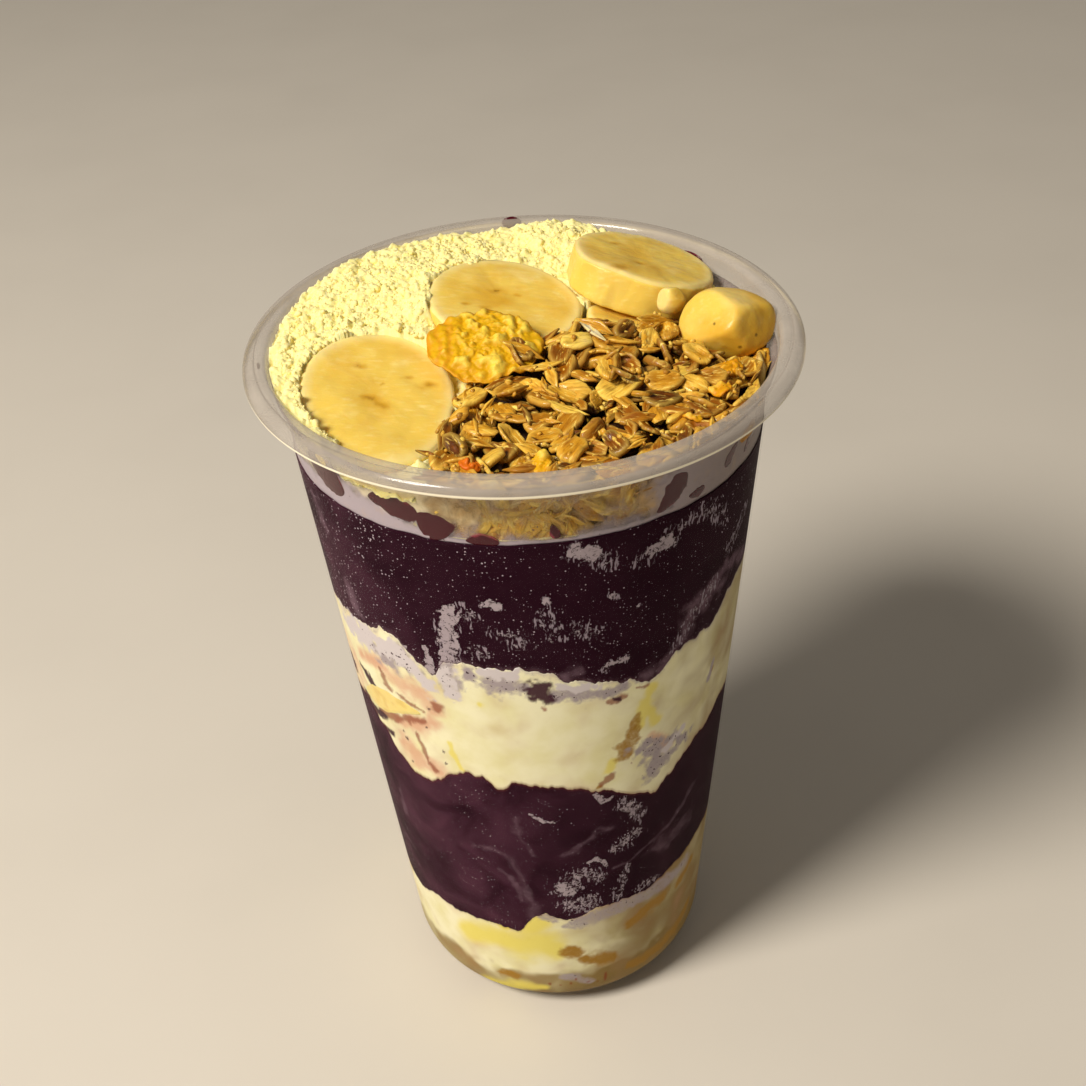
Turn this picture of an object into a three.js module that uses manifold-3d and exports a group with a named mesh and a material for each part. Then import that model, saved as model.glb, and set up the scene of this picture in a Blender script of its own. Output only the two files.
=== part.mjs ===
// A clear plastic cup of layered acai sorbet and cream, topped with milk powder, banana,
// granola and a corn flake. Millimetres, +Z up, origin in the middle of the foot.
// Azimuths are in degrees: 0 is the front (-Y) and they grow towards +X.
import * as THREE from "three";
import { mergeVertices } from "three/addons/utils/BufferGeometryUtils.js";
import Module from "manifold-3d";

const wasm = await Module();
wasm.setup();

// ---- Driving dimensions ------------------------------------------------------------------
const CUP_HEIGHT = 140;
const MOUTH_RADIUS = 47.5; // outside the rolled rim
const FOOT_CONE_RADIUS = 29.2; // the outer cone carried down to the table
const BRIM_CONE_RADIUS = 42.8; // the outer cone carried up to the brim
const WALL = 0.7;
const FOOT_ROUNDING = 9;
const FOOT_RECESS = 2.2; // the middle of the base stands clear of the table
const FOOT_RING_INSIDE = 19;
const NECK_HEIGHT = 134; // where the wall steps out under the rim
const GAP = 0.3; // between pieces that touch
const SPOKES = 48; // facets round the cup and what fills it

const FLOOR_HEIGHT = FOOT_RECESS + 0.8;
const ACAI_TOP = 125;
const TAU = 2 * Math.PI;

// Where one layer gives way to the next, as [azimuth, height] round the wall.
const BASE_CREAM_TOP = [
  [-180, 30], [-120, 28], [-85, 24], [-60, 24], [-45, 26], [-18, 26], [-6, 31], [5, 29],
  [18, 31], [40, 32], [60, 35], [100, 33], [140, 28],
];
const LOWER_ACAI_TOP = [
  [-180, 66], [-130, 69], [-95, 73], [-65, 74], [-50, 66], [-38, 63.5], [-25, 69.5], [-15, 66.5],
  [0, 68], [15, 64.5], [32, 59], [50, 66.5], [65, 69], [100, 66], [140, 63],
];
const MIDDLE_CREAM_TOP = [
  [-180, 93], [-120, 90], [-88, 92], [-60, 96.5], [-40, 99], [-31, 93], [-20, 97], [0, 96.5],
  [12, 93], [30, 89.5], [48, 92.5], [65, 98], [95, 96], [135, 92],
];

// Slices: where the middle of the top face is, how far it drops towards +X and rises towards
// +Y in degrees, its half-widths and its thickness.
const SLICES = {
  banana_slice_front: {
    centre: [-24.6, -11.3, 136.6], drop: 8.2, rise: 9.7, half: [13.1, 16], thickness: 4.5, phase: 0.4,
  },
  banana_slice_middle: {
    centre: [-3.1, 10.8, 140.3], drop: 8.7, rise: 5.4, half: [13.7, 13.9], thickness: 4.5, phase: 1.5,
  },
  banana_slice_back: {
    centre: [22.4, 20.3, 142], drop: 16.3, rise: -4.6, half: [13.1, 12], thickness: 7, phase: 2.6,
  },
  banana_slice_under: {
    centre: [17.4, 10.1, 135.9], drop: 14, rise: 2, half: [6.2, 6.2], thickness: 3.2, phase: 0.9,
  },
  banana_piece: {
    centre: [26, 6.8, 142.9], drop: 4, rise: 4, half: [2.5, 1.4], thickness: 5.2, phase: 2,
  },
};
const BANANA_END = { centre: [34.8, 0.6, 138.8], half: [8.3, 7, 6.2] };
const CORN_FLAKE = { centre: [-6.4, -4.8, 140], rise: 16, half: [9.9, 8.2], thickness: 1, wave: 0.9 };
const BANANA_IN_CREAM = {
  azimuth: -52, height: 81, lean: 24, half: [9, 4], thickness: 4, inset: 3,
};

// Heaps: the level they are filled to and the mounds on it, as [x, y, rise, spread x, spread y].
const GRANOLA_LEVEL = 134.9;
const GRANOLA_MOUNDS = [[6, -1, 5, 17, 11]];
const POWDER_LEVEL = 138.7;
const POWDER_MOUNDS = [
  [-20, 20, 2.4, 12, 12], [8, 36, 2.8, 4, 4], [38, 22, -4.5, 10, 13], [-22, -34, -4, 12, 7],
];
// The line between them in plan, from the front wall to the right-hand wall.
const HEAP_DIVIDE = [[-19, -50], [-16, -28], [-10, -10], [-2, 4], [10, 12], [26, 15], [50, 17]];

// ---- The cup's own curves ----------------------------------------------------------------
const coneRadius = (z) =>
  FOOT_CONE_RADIUS + ((BRIM_CONE_RADIUS - FOOT_CONE_RADIUS) * z) / CUP_HEIGHT;
const footCentre = coneRadius(FOOT_ROUNDING) - FOOT_ROUNDING;

/** Radius and height of the inner face above the foot, from the neck up to the rim's inner edge. */
const NECK_INSIDE = [
  [coneRadius(NECK_HEIGHT) - WALL, NECK_HEIGHT],
  [coneRadius(NECK_HEIGHT) + 0.45, 135.4],
  [coneRadius(NECK_HEIGHT) + 0.7, 137],
  [MOUTH_RADIUS - 4.3, 139.3],
];

/** Inner radius of the cup at any height above its floor. */
function innerRadius(z) {
  if (z < FOOT_ROUNDING) {
    return footCentre + Math.sqrt((FOOT_ROUNDING - WALL) ** 2 - (FOOT_ROUNDING - z) ** 2);
  }
  if (z <= NECK_HEIGHT) {
    return coneRadius(z) - WALL;
  }
  const top = NECK_INSIDE.findIndex(([, height]) => height >= z);
  const [r1, z1] = NECK_INSIDE.at(top < 0 ? -1 : top);
  const [r0, z0] = NECK_INSIDE[Math.max(top - 1, 0)];
  return top < 0 ? r1 : r0 + ((r1 - r0) * (z - z0)) / (z1 - z0);
}

/** Radius of what fills the cup. */
const fillRadius = (z) => innerRadius(z) - GAP;

/** Points of a quarter arc of the foot, from the table up to the cone or back down. */
function footArc(radius, steps, lowest) {
  const start = Math.asin((FOOT_ROUNDING - lowest) / radius);
  return Array.from({ length: steps + 1 }, (_, i) => {
    const angle = start * (1 - i / steps);
    return [footCentre + radius * Math.cos(angle), FOOT_ROUNDING - radius * Math.sin(angle)];
  });
}

function cupOutline() {
  const neck = coneRadius(NECK_HEIGHT);
  return [
    [0, FOOT_RECESS],
    [FOOT_RING_INSIDE - 2, FOOT_RECESS],
    [FOOT_RING_INSIDE, 0],
    ...footArc(FOOT_ROUNDING, 4, 0),
    [neck, NECK_HEIGHT],
    [neck + 1.15, 135.2],
    [neck + 1.4, 136.8],
    [MOUTH_RADIUS - 1, 136.9],
    [MOUTH_RADIUS, 137.7],
    [MOUTH_RADIUS, 138.7],
    [MOUTH_RADIUS - 1.4, CUP_HEIGHT],
    [MOUTH_RADIUS - 3.7, CUP_HEIGHT],
    ...NECK_INSIDE.toReversed(),
    ...footArc(FOOT_ROUNDING - WALL, 3, FLOOR_HEIGHT).reverse(),
    [0, FLOOR_HEIGHT],
  ];
}

// ---- Shapes ------------------------------------------------------------------------------
/** Smooth closed line round the cup through [azimuth, value] pairs. */
function wavyLine(pairs) {
  const last = pairs.length - 1;
  return (angle) => {
    const azimuth = ((((angle * 360) / TAU + 180) % 360) + 360) % 360 - 180;
    const i = pairs.findLastIndex(([at]) => at <= azimuth);
    const [at, from] = pairs[i];
    const [next, to] = i === last ? [pairs[0][0] + 360, pairs[0][1]] : pairs[i + 1];
    const share = (azimuth - at) / (next - at);
    return from + ((to - from) * (1 - Math.cos(Math.PI * share))) / 2;
  };
}

/** Closed solid about Z whose outline, from bottom to top, may differ from spoke to spoke. */
function spun(outlineAt, spokes) {
  const outlines = Array.from({ length: spokes }, (_, i) => outlineAt((TAU * i) / spokes));
  const rings = outlines[0].length - 2;
  const positions = [0, 0, outlines[0][0][1], 0, 0, outlines[0].at(-1)[1]];
  const index = [];
  outlines.forEach((outline, i) => {
    const angle = (TAU * i) / spokes;
    const here = 2 + i * rings;
    const next = 2 + ((i + 1) % spokes) * rings;
    for (const [r, z] of outline.slice(1, -1)) {
      positions.push(r * Math.sin(angle), -r * Math.cos(angle), z);
    }
    index.push(0, next, here, 1, here + rings - 1, next + rings - 1);
    for (let k = 0; k < rings - 1; k += 1) {
      // Faces that look down and faces that look up are split the same way, so layers nest.
      const [a, b, c, d] = [here + k, next + k, next + k + 1, here + k + 1];
      const inward = outline[k + 2][0] < outline[k + 1][0];
      index.push(...(inward ? [a, b, d, b, c, d] : [a, b, c, a, c, d]));
    }
  });
  const geometry = new THREE.BufferGeometry();
  geometry.setAttribute("position", new THREE.Float32BufferAttribute(positions, 3));
  geometry.setIndex(index);
  return geometry;
}

/** What fills the cup between two wavy lines, with a side that follows the wall. */
function layer(bottomLine, topLine, sideRows = 2) {
  const bottomAt = wavyLine(bottomLine);
  const topAt = wavyLine(topLine);
  const middle = (line) => line.reduce((sum, [, z]) => sum + z, 0) / line.length;
  const bottomMiddle = middle(bottomLine) + GAP / 2;
  const topMiddle = middle(topLine) - GAP / 2;
  return spun((angle) => {
    const bottom = bottomAt(angle) + GAP / 2;
    const top = topAt(angle) - GAP / 2;
    const inside = [0.6];
    const at = (share, centre, edge) => [
      share * fillRadius(edge),
      centre + (edge - centre) * share * share,
    ];
    const side = Array.from({ length: sideRows + 1 }, (_, i) => {
      const z = bottom + ((top - bottom) * i) / sideRows;
      return [fillRadius(z), z];
    });
    return [
      [0, bottomMiddle],
      ...inside.map((share) => at(share, bottomMiddle, bottom)),
      ...side,
      ...inside.toReversed().map((share) => at(share, topMiddle, top)),
      [0, topMiddle],
    ];
  }, SPOKES);
}

/** Height of a heap over a point of the plan. */
function heapHeight(level, mounds, x, y) {
  const bumps = mounds.map(([cx, cy, rise, wide, deep]) =>
    rise * Math.exp(-((x - cx) ** 2) / (2 * wide ** 2) - (y - cy) ** 2 / (2 * deep ** 2)));
  const unevenness = 0.15 * (Math.sin(x / 2.3) * Math.cos(y / 2.9) + Math.sin((x + 2 * y) / 4.1));
  return bumps.reduce((sum, bump) => sum + bump, level + unevenness);
}

/** The whole plan of the cup filled from the acai up to a heap's surface. */
function heap(level, mounds) {
  const shares = [0.86, 0.7, 0.52, 0.34, 0.17];
  const height = (angle, r) => heapHeight(level, mounds, r * Math.sin(angle), -r * Math.cos(angle));
  const bottom = ACAI_TOP + GAP / 2;
  return spun((angle) => {
    const edge = height(angle, fillRadius(level));
    const rows = [bottom, 130, NECK_HEIGHT];
    if (edge > 137) {
      rows.push(135.4, 137);
    } else {
      rows.push(NECK_HEIGHT + (edge - NECK_HEIGHT) / 3, NECK_HEIGHT + ((edge - NECK_HEIGHT) * 2) / 3);
    }
    return [
      [0, bottom],
      [0.5 * fillRadius(bottom), bottom],
      ...[...rows, edge].map((z) => [fillRadius(z), z]),
      ...shares.map((share) => [share * fillRadius(edge), height(angle, share * fillRadius(edge))]),
      [0, height(0, 0)],
    ];
  }, SPOKES);
}

/** Upright prism over the granola's part of the plan, moved out by a margin. */
function granolaPlan(margin) {
  const line = HEAP_DIVIDE.map(([x, y]) => new THREE.Vector2(x - 0.75 * margin, y + 0.75 * margin));
  const plan = new THREE.Shape(new THREE.SplineCurve(line).getPoints(24));
  plan.lineTo(60, -60);
  plan.lineTo(-19, -60);
  plan.closePath();
  const prism = new THREE.ExtrudeGeometry(plan, { depth: 40, bevelEnabled: false });
  return prism.translate(0, 0, ACAI_TOP - 10);
}

/** Round slice, not quite circular, with softened edges; its top face is at z = 0. */
function sliceShape({ half: [wide, deep], thickness, phase }, grow = 0, headroom = 0) {
  const soft = Math.min(0.9, thickness / 5);
  return spun((angle) => {
    const round = 1 / Math.hypot(Math.sin(angle) / wide, Math.cos(angle) / deep);
    const radius = round * (1 + 0.018 * Math.cos(3 * angle + phase)) + grow;
    const lowest = -thickness - grow;
    const highest = grow + headroom;
    return [
      [0, lowest],
      [radius - soft, lowest],
      [radius, lowest + soft],
      [radius, highest - soft],
      [radius - soft, highest],
      [0, highest + 0.1],
    ];
  }, 24);
}

/** Banana tip: a blunt wedge, wide at the back and top, with one facet pressed flat. */
function bananaEndShape(grow = 0) {
  const geometry = new THREE.SphereGeometry(1, 18, 12);
  geometry.rotateX(Math.PI / 2);
  const facet = new THREE.Vector3(-0.62, -0.2, 0.76).normalize();
  const point = new THREE.Vector3();
  const position = geometry.attributes.position;
  for (let i = 0; i < position.count; i += 1) {
    point.fromBufferAttribute(position, i);
    point.addScaledVector(facet, -0.6 * Math.max(point.dot(facet) - 0.62, 0));
    point.x *= 1 + 0.22 * point.z + 0.12 * point.y;
    position.setXYZ(i, point.x, point.y, point.z);
  }
  const [wide, deep, high] = BANANA_END.half;
  return geometry.scale(wide + grow, deep + grow, high + grow);
}

/** Crisp crinkled flake, thin at its rim. */
function cornFlakeShape(grow = 0, headroom = 0) {
  const { half: [wide, deep], thickness, wave } = CORN_FLAKE;
  const crinkle = (x, y) =>
    wave * (Math.sin(x / 2.1 + 0.6) * Math.cos(y / 2.6) + 0.012 * (x * x - y * y));
  return spun((angle) => {
    const round = 1 / Math.hypot(Math.sin(angle) / wide, Math.cos(angle) / deep);
    const radius = round * (1 + 0.05 * Math.cos(4 * angle + 1) + 0.03 * Math.sin(7 * angle)) + grow;
    const at = (share, side) => {
      const r = share * radius;
      const sheet = crinkle(r * Math.sin(angle), -r * Math.cos(angle));
      const body = (thickness / 2) * (1 - 0.5 * share ** 4) + grow;
      return [r, sheet + (side < 0 ? -body : body + headroom)];
    };
    const shares = [0.35, 0.7, 1];
    return [
      [0, at(0, -1)[1]],
      ...shares.map((share) => at(share, -1)),
      ...shares.toReversed().map((share) => at(share, 1)),
      [0, at(0, 1)[1]],
    ];
  }, 24);
}

// ---- Cutting -----------------------------------------------------------------------------
function toManifold(geometry) {
  const bare = geometry.clone();
  bare.deleteAttribute("normal");
  bare.deleteAttribute("uv");
  const merged = mergeVertices(bare, 1e-4);
  return new wasm.Manifold(new wasm.Mesh({
    numProp: 3,
    vertProperties: new Float32Array(merged.attributes.position.array),
    triVerts: new Uint32Array(merged.index.array),
  }));
}

function fromManifold(solid) {
  const { vertProperties, triVerts } = solid.getMesh();
  const geometry = new THREE.BufferGeometry();
  geometry.setAttribute("position", new THREE.Float32BufferAttribute(vertProperties, 3));
  geometry.setIndex(Array.from(triVerts));
  return geometry;
}

/** A geometry less some others. */
const cutBy = (geometry, cutters) =>
  fromManifold(cutters.reduce((solid, cutter) => solid.subtract(toManifold(cutter)), toManifold(geometry)));

const keptIn = (geometry, mould) =>
  fromManifold(toManifold(geometry).intersect(toManifold(mould)));

// ---- Placing -----------------------------------------------------------------------------
const degrees = THREE.MathUtils.degToRad;

function placement({ centre, drop = 0, rise = 0 }) {
  const turn = new THREE.Quaternion().setFromEuler(new THREE.Euler(degrees(rise), degrees(drop), 0));
  return new THREE.Matrix4().compose(new THREE.Vector3(...centre), turn, new THREE.Vector3(1, 1, 1));
}

/** The middle of the banana that shows through the wall, and its lean along the wall. */
function inCreamPlacement() {
  const { azimuth, height, lean, inset } = BANANA_IN_CREAM;
  const r = fillRadius(height) - inset;
  const angle = degrees(azimuth);
  const turn = new THREE.Quaternion().setFromEuler(new THREE.Euler(0, degrees(-lean), angle, "ZYX"));
  const centre = new THREE.Vector3(r * Math.sin(angle), -r * Math.cos(angle), height);
  return new THREE.Matrix4().compose(centre, turn, new THREE.Vector3(1, 1, 1));
}

const COLUMN = 12; // nothing of a heap lies on top of a slice or the flake

const sliceCutters = Object.values(SLICES).map((slice) =>
  sliceShape(slice, GAP, COLUMN).applyMatrix4(placement(slice)));
const toppingCutters = [
  ...sliceCutters,
  cornFlakeShape(GAP, COLUMN).applyMatrix4(placement(CORN_FLAKE)),
  bananaEndShape(GAP).applyMatrix4(placement(BANANA_END)),
];
const level = (z) => [[-180, z]];

// ---- The pieces --------------------------------------------------------------------------
const part = new THREE.Group();

function add(name, geometry, look, matrix = new THREE.Matrix4()) {
  const mesh = new THREE.Mesh(geometry, new THREE.MeshStandardMaterial({ metalness: 0, ...look }));
  mesh.name = name;
  mesh.applyMatrix4(matrix);
  part.add(mesh);
}

const BANANA = { color: "#edd581", roughness: 0.5 };
const ACAI = { color: "#351a28", roughness: 0.45 };
const CREAM = { color: "#ece0b4", roughness: 0.55 };

function addCup() {
  const outline = cupOutline().map(([r, z]) => new THREE.Vector2(r, z));
  const geometry = new THREE.LatheGeometry(outline, SPOKES).rotateX(Math.PI / 2);
  add("cup", geometry, { color: "#d5cfc6", roughness: 0.25, transparent: true, opacity: 0.4 });
}

function addLayers() {
  const baseFloor = level(FLOOR_HEIGHT + GAP / 2);
  const inCream = sliceShape({ ...BANANA_IN_CREAM, phase: 1 }).applyMatrix4(inCreamPlacement());
  const inCreamCutter = sliceShape({ ...BANANA_IN_CREAM, phase: 1 }, GAP).applyMatrix4(inCreamPlacement());
  const cream = layer(LOWER_ACAI_TOP, MIDDLE_CREAM_TOP);
  add("cream_base", layer(baseFloor, BASE_CREAM_TOP, 4), CREAM);
  add("acai_lower", layer(BASE_CREAM_TOP, LOWER_ACAI_TOP), ACAI);
  add("cream_middle", cutBy(cream, [inCreamCutter]), CREAM);
  add("banana_in_cream", keptIn(inCream, cream), BANANA);
  add("acai_upper", layer(MIDDLE_CREAM_TOP, level(ACAI_TOP)), ACAI);
}

function addHeaps() {
  const powder = heap(POWDER_LEVEL, POWDER_MOUNDS);
  const granola = keptIn(heap(GRANOLA_LEVEL, GRANOLA_MOUNDS), granolaPlan(0));
  add("milk_powder", cutBy(powder, [granolaPlan(GAP), ...toppingCutters]),
    { color: "#fbf3c4", roughness: 0.95 });
  add("granola", cutBy(granola, toppingCutters), { color: "#c18f3e", roughness: 0.7 });
}

function addToppings() {
  for (const [name, slice] of Object.entries(SLICES)) {
    add(name, sliceShape(slice), BANANA, placement(slice));
  }
  add("banana_end", bananaEndShape(), BANANA, placement(BANANA_END));
  add("corn_flake", cornFlakeShape(), { color: "#eab32c", roughness: 0.6 }, placement(CORN_FLAKE));
}

addCup();
addLayers();
addHeaps();
addToppings();

export default part;
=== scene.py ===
"""Looks for a clear plastic cup of layered acai sorbet and cream, with its toppings.

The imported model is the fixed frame, and every piece made here rides on it. Shapes are worked out in
millimetres and become metres when a mesh is made. Azimuths are in degrees: 0 is the front (-Y), and
they grow towards +X.
"""

import functools
import itertools
import math

import bmesh
import bpy
import numpy as np
from bpy.props import FloatProperty, FloatVectorProperty, IntProperty, PointerProperty
from mathutils import Matrix, Vector
from mathutils.bvhtree import BVHTree


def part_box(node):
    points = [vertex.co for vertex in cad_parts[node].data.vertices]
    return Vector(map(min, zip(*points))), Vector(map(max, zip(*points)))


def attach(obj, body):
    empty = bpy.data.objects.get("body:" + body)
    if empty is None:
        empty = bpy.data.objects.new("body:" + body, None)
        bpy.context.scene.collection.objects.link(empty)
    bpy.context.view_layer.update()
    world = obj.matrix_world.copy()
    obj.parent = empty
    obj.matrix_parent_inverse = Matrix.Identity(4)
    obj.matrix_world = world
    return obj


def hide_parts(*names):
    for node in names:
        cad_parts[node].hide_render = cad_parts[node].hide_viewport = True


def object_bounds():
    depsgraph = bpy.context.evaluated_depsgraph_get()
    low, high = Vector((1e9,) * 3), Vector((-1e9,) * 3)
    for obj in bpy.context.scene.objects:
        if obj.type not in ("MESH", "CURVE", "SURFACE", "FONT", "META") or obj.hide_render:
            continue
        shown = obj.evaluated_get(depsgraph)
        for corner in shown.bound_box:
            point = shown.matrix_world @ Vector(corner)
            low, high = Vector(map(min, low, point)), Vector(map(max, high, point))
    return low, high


bl_info = {
    "name": "Acai cup",
    "version": (1, 0, 0),
    "blender": (4, 5, 0),
    "location": "View3D > Sidebar > Acai cup",
    "description": "Builds a cup of layered acai sorbet and cream with banana, granola and milk powder",
    "category": "Object",
}

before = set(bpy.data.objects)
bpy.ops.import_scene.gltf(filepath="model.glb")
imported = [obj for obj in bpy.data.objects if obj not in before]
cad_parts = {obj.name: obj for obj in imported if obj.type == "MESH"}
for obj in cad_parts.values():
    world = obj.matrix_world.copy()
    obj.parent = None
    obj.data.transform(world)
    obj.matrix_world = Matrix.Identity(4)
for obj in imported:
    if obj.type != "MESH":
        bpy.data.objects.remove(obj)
CAD_BOX = [list(corner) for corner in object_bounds()]

MM = 0.001
HIGHEST = CAD_BOX[1][2] / MM  # top of the CAD; the powder doesn't rise above it
TAU = 2 * math.pi
BODY = "root"


def box_mm(node_name):
    """Lowest and highest corner of a CAD node, in millimetres."""
    return [np.array(corner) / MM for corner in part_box(node_name)]


# ---- The cup's own curves, in millimetres --------------------------------------------------
CUP_HEIGHT = box_mm("cup")[1][2]
MOUTH_RADIUS = box_mm("cup")[1][0]
FOOT_CONE_RADIUS = 29.2
BRIM_CONE_RADIUS = 42.8
WALL = 0.7
FOOT_ROUNDING = 9.0
FOOT_RECESS = 2.2
FOOT_RING_INSIDE = 19.0
NECK_HEIGHT = 134.0
FLOOR_HEIGHT = FOOT_RECESS + 0.8
ACAI_TOP = box_mm("acai_upper")[1][2]
IN_WALL = 0.35  # food that touches the wall reaches this far from its outer face
RIM_INSIDE = MOUTH_RADIUS - 4.3
RIM_SIDE_TOP = 139.0  # a drop above it lies on top of the rim
LIP_HIGHLIGHT_BAND = (137.3, 138.15)  # heights between which the rim's outer edge gets a painted highlight
FILM_FACE = 0.55  # depth of the milk film's outer face, which reaches a little into the wall
FILM_DEPTH = WALL + 0.05  # just behind the wall's inner face
FILM_TOP = 136.2


def cone_radius(z):
    """Radius of the cup's outer cone at height z."""
    return FOOT_CONE_RADIUS + (BRIM_CONE_RADIUS - FOOT_CONE_RADIUS) * z / CUP_HEIGHT


FOOT_CENTRE = cone_radius(FOOT_ROUNDING) - FOOT_ROUNDING
NECK_RADIUS = cone_radius(NECK_HEIGHT)


def wall_radius(z, depth):
    """Radius, at height z, of the surface that lies a depth behind the cup's outer face."""
    z = np.asarray(z, float)
    rounding = FOOT_ROUNDING - depth
    foot = FOOT_CENTRE + np.sqrt(np.maximum(rounding**2 - (FOOT_ROUNDING - z) ** 2, 0))
    neck_steps = ([NECK_HEIGHT, 135.4, 137, 139.3], [0, 1.15, 1.4, RIM_INSIDE + WALL - NECK_RADIUS])
    neck = NECK_RADIUS + np.interp(z, *neck_steps)
    return np.where(z < FOOT_ROUNDING, foot, np.where(z > NECK_HEIGHT, neck, cone_radius(z)) - depth)


# ---- Where things lie on the wall ----------------------------------------------------------
# Lines between layers, as (azimuth, height) round the cup.
BASE_CREAM_TOP = [
    (-180, 30), (-120, 28), (-85, 24.5), (-60, 24), (-50, 26.5), (-40, 25.5), (-25, 26.5),
    (-15, 25.5), (-8, 30.5), (-5, 31), (0, 29.5), (5, 29), (15, 31.5), (30, 31), (50, 33.5),
    (60, 35), (100, 33), (140, 28),
]
LOWER_ACAI_TOP = [
    (-180, 66), (-130, 69), (-95, 73), (-65, 74.5), (-57, 71), (-50, 66), (-45, 63.5), (-40, 63.5),
    (-35, 65), (-30, 68), (-25, 69.5), (-20, 69), (-15, 66.5), (-10, 69), (0, 68), (5, 67),
    (15, 64.5), (25, 61), (33, 59), (38, 61.5), (45, 64), (50, 66.5), (65, 69), (100, 66), (140, 63),
]
MIDDLE_CREAM_TOP = [
    (-180, 93), (-120, 90), (-88, 93), (-60, 97), (-50, 98), (-45, 99.5), (-40, 99), (-33, 95),
    (-30, 93), (-25, 97), (-10, 97.5), (0, 96.5), (5, 94), (15, 92.5), (20, 91), (30, 89.5),
    (38, 93), (50, 93), (60, 97), (65, 98), (95, 96), (135, 92),
]


# ---- Small tools ---------------------------------------------------------------------------
def linear(colour):
    """Linear colour with full alpha from sRGB hex."""
    shares = [int(colour[i : i + 2], 16) / 255 for i in (1, 3, 5)]
    return [s / 12.92 if s <= 0.04045 else ((s + 0.055) / 1.055) ** 2.4 for s in shares] + [1.0]


def eased(share):
    """0 to 1, with soft ends, from any number."""
    share = np.clip(share, 0, 1)
    return share * share * (3 - 2 * share)


LATTICE = 24


def lumps(points, size, seed, octaves=3):
    """Smooth seeded unevenness, about -1 to 1, at points (n x 3, mm); its widest lumps are size mm."""
    values = np.random.default_rng(seed).uniform(-1, 1, (LATTICE,) * 3)
    points = np.asarray(points, float)
    total = np.zeros(len(points))
    for octave in range(octaves):
        spot = points / size * 2**octave + 5.7 * octave
        cell = np.floor(spot).astype(int)
        inside = spot - cell
        inside = inside * inside * (3 - 2 * inside)
        for corner in itertools.product((0, 1), repeat=3):
            share = np.prod(np.where(corner, inside, 1 - inside), axis=1)
            x, y, z = ((cell + corner) % LATTICE).T
            total += share * values[x, y, z] / 2**octave
    return 1.6 * total / (2 - 2 ** (1 - octaves))


def round_azimuths(count):
    """Azimuths round the cup, three times closer together at the front than at the back."""
    even = np.arange(count) * 360 / count - 180
    return even - np.degrees(0.5 * np.sin(np.radians(even)))


def on_cylinder(azimuth, radius, z):
    """Points (n x 3) from azimuth in degrees, radius and height."""
    angle = np.radians(azimuth)
    return np.stack(np.broadcast_arrays(radius * np.sin(angle), -radius * np.cos(angle), z), axis=-1)


def azimuth_of(points):
    """Azimuths, in degrees, of points."""
    return np.degrees(np.arctan2(points[..., 0], -points[..., 1]))


def right_side(points, start, width, most):
    """0 on the left and at the back, growing to most on the right over width degrees from an azimuth."""
    azimuth = azimuth_of(points)
    return most * eased((azimuth - start) / width) * eased((175 - azimuth) / 40)


def left_side(points, start, width):
    """The same on the left, growing to 1."""
    azimuth = azimuth_of(points)
    return eased((start - azimuth) / width) * eased((azimuth + 170) / 40)


def from_axis(points):
    """Distances of points from the cup's axis."""
    return np.hypot(points[:, 0], points[:, 1])


def even_angles(count):
    """Angles of even steps all round, in radians."""
    return np.arange(count) * TAU / count


def stacked(*values):
    """Points, one to a row, from arrays or numbers for each of their coordinates."""
    return np.column_stack([value.ravel() for value in np.broadcast_arrays(*values)])


def round_line(pairs, azimuth):
    """Height at an azimuth of the smooth closed line through (azimuth, height) pairs."""
    at, height = np.array(pairs + [(pairs[0][0] + 360, pairs[0][1])], float).T
    azimuth = (np.asarray(azimuth) - at[0]) % 360 + at[0]
    i = np.clip(np.searchsorted(at, azimuth, side="right") - 1, 0, len(at) - 2)
    share = (azimuth - at[i]) / (at[i + 1] - at[i])
    return height[i] + (height[i + 1] - height[i]) * (1 - np.cos(np.pi * share)) / 2


def closed_body(rings, capped=True):
    """Points and faces of a closed body from its rings of points.

    Its ends are drawn to their middles, or join each other where it isn't capped."""
    rings = np.asarray(rings)
    count, spokes = rings.shape[:2]
    points = rings.reshape(-1, 3)
    here = np.arange(spokes)
    after = np.roll(here, -1)
    row = np.arange(count)[:, None] * spokes
    next_row = np.roll(row, -1, axis=0)
    quads = np.stack([here + row, after + row, after + next_row, here + next_row], -1)
    if not capped:
        return points, quads.reshape(-1, 4).tolist()
    first, last = count * spokes, (count - 1) * spokes
    ends = [[first, int(b), int(a)] for a, b in zip(here, after)]
    ends += [[first + 1, int(a) + last, int(b) + last] for a, b in zip(here, after)]
    points = np.concatenate([points, [rings[0].mean(0), rings[-1].mean(0)]])
    return points, quads[:-1].reshape(-1, 4).tolist() + ends


def joined(bodies):
    """Points and faces of several bodies as one, and which body each point is from."""
    points, faces, owner = [], [], []
    start = 0
    for number, (body_points, body_faces) in enumerate(bodies):
        points.append(body_points)
        faces += [[i + start for i in face] for face in body_faces]
        owner.append(np.full(len(body_points), number))
        start += len(body_points)
    return np.concatenate(points), faces, np.concatenate(owner)


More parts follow.
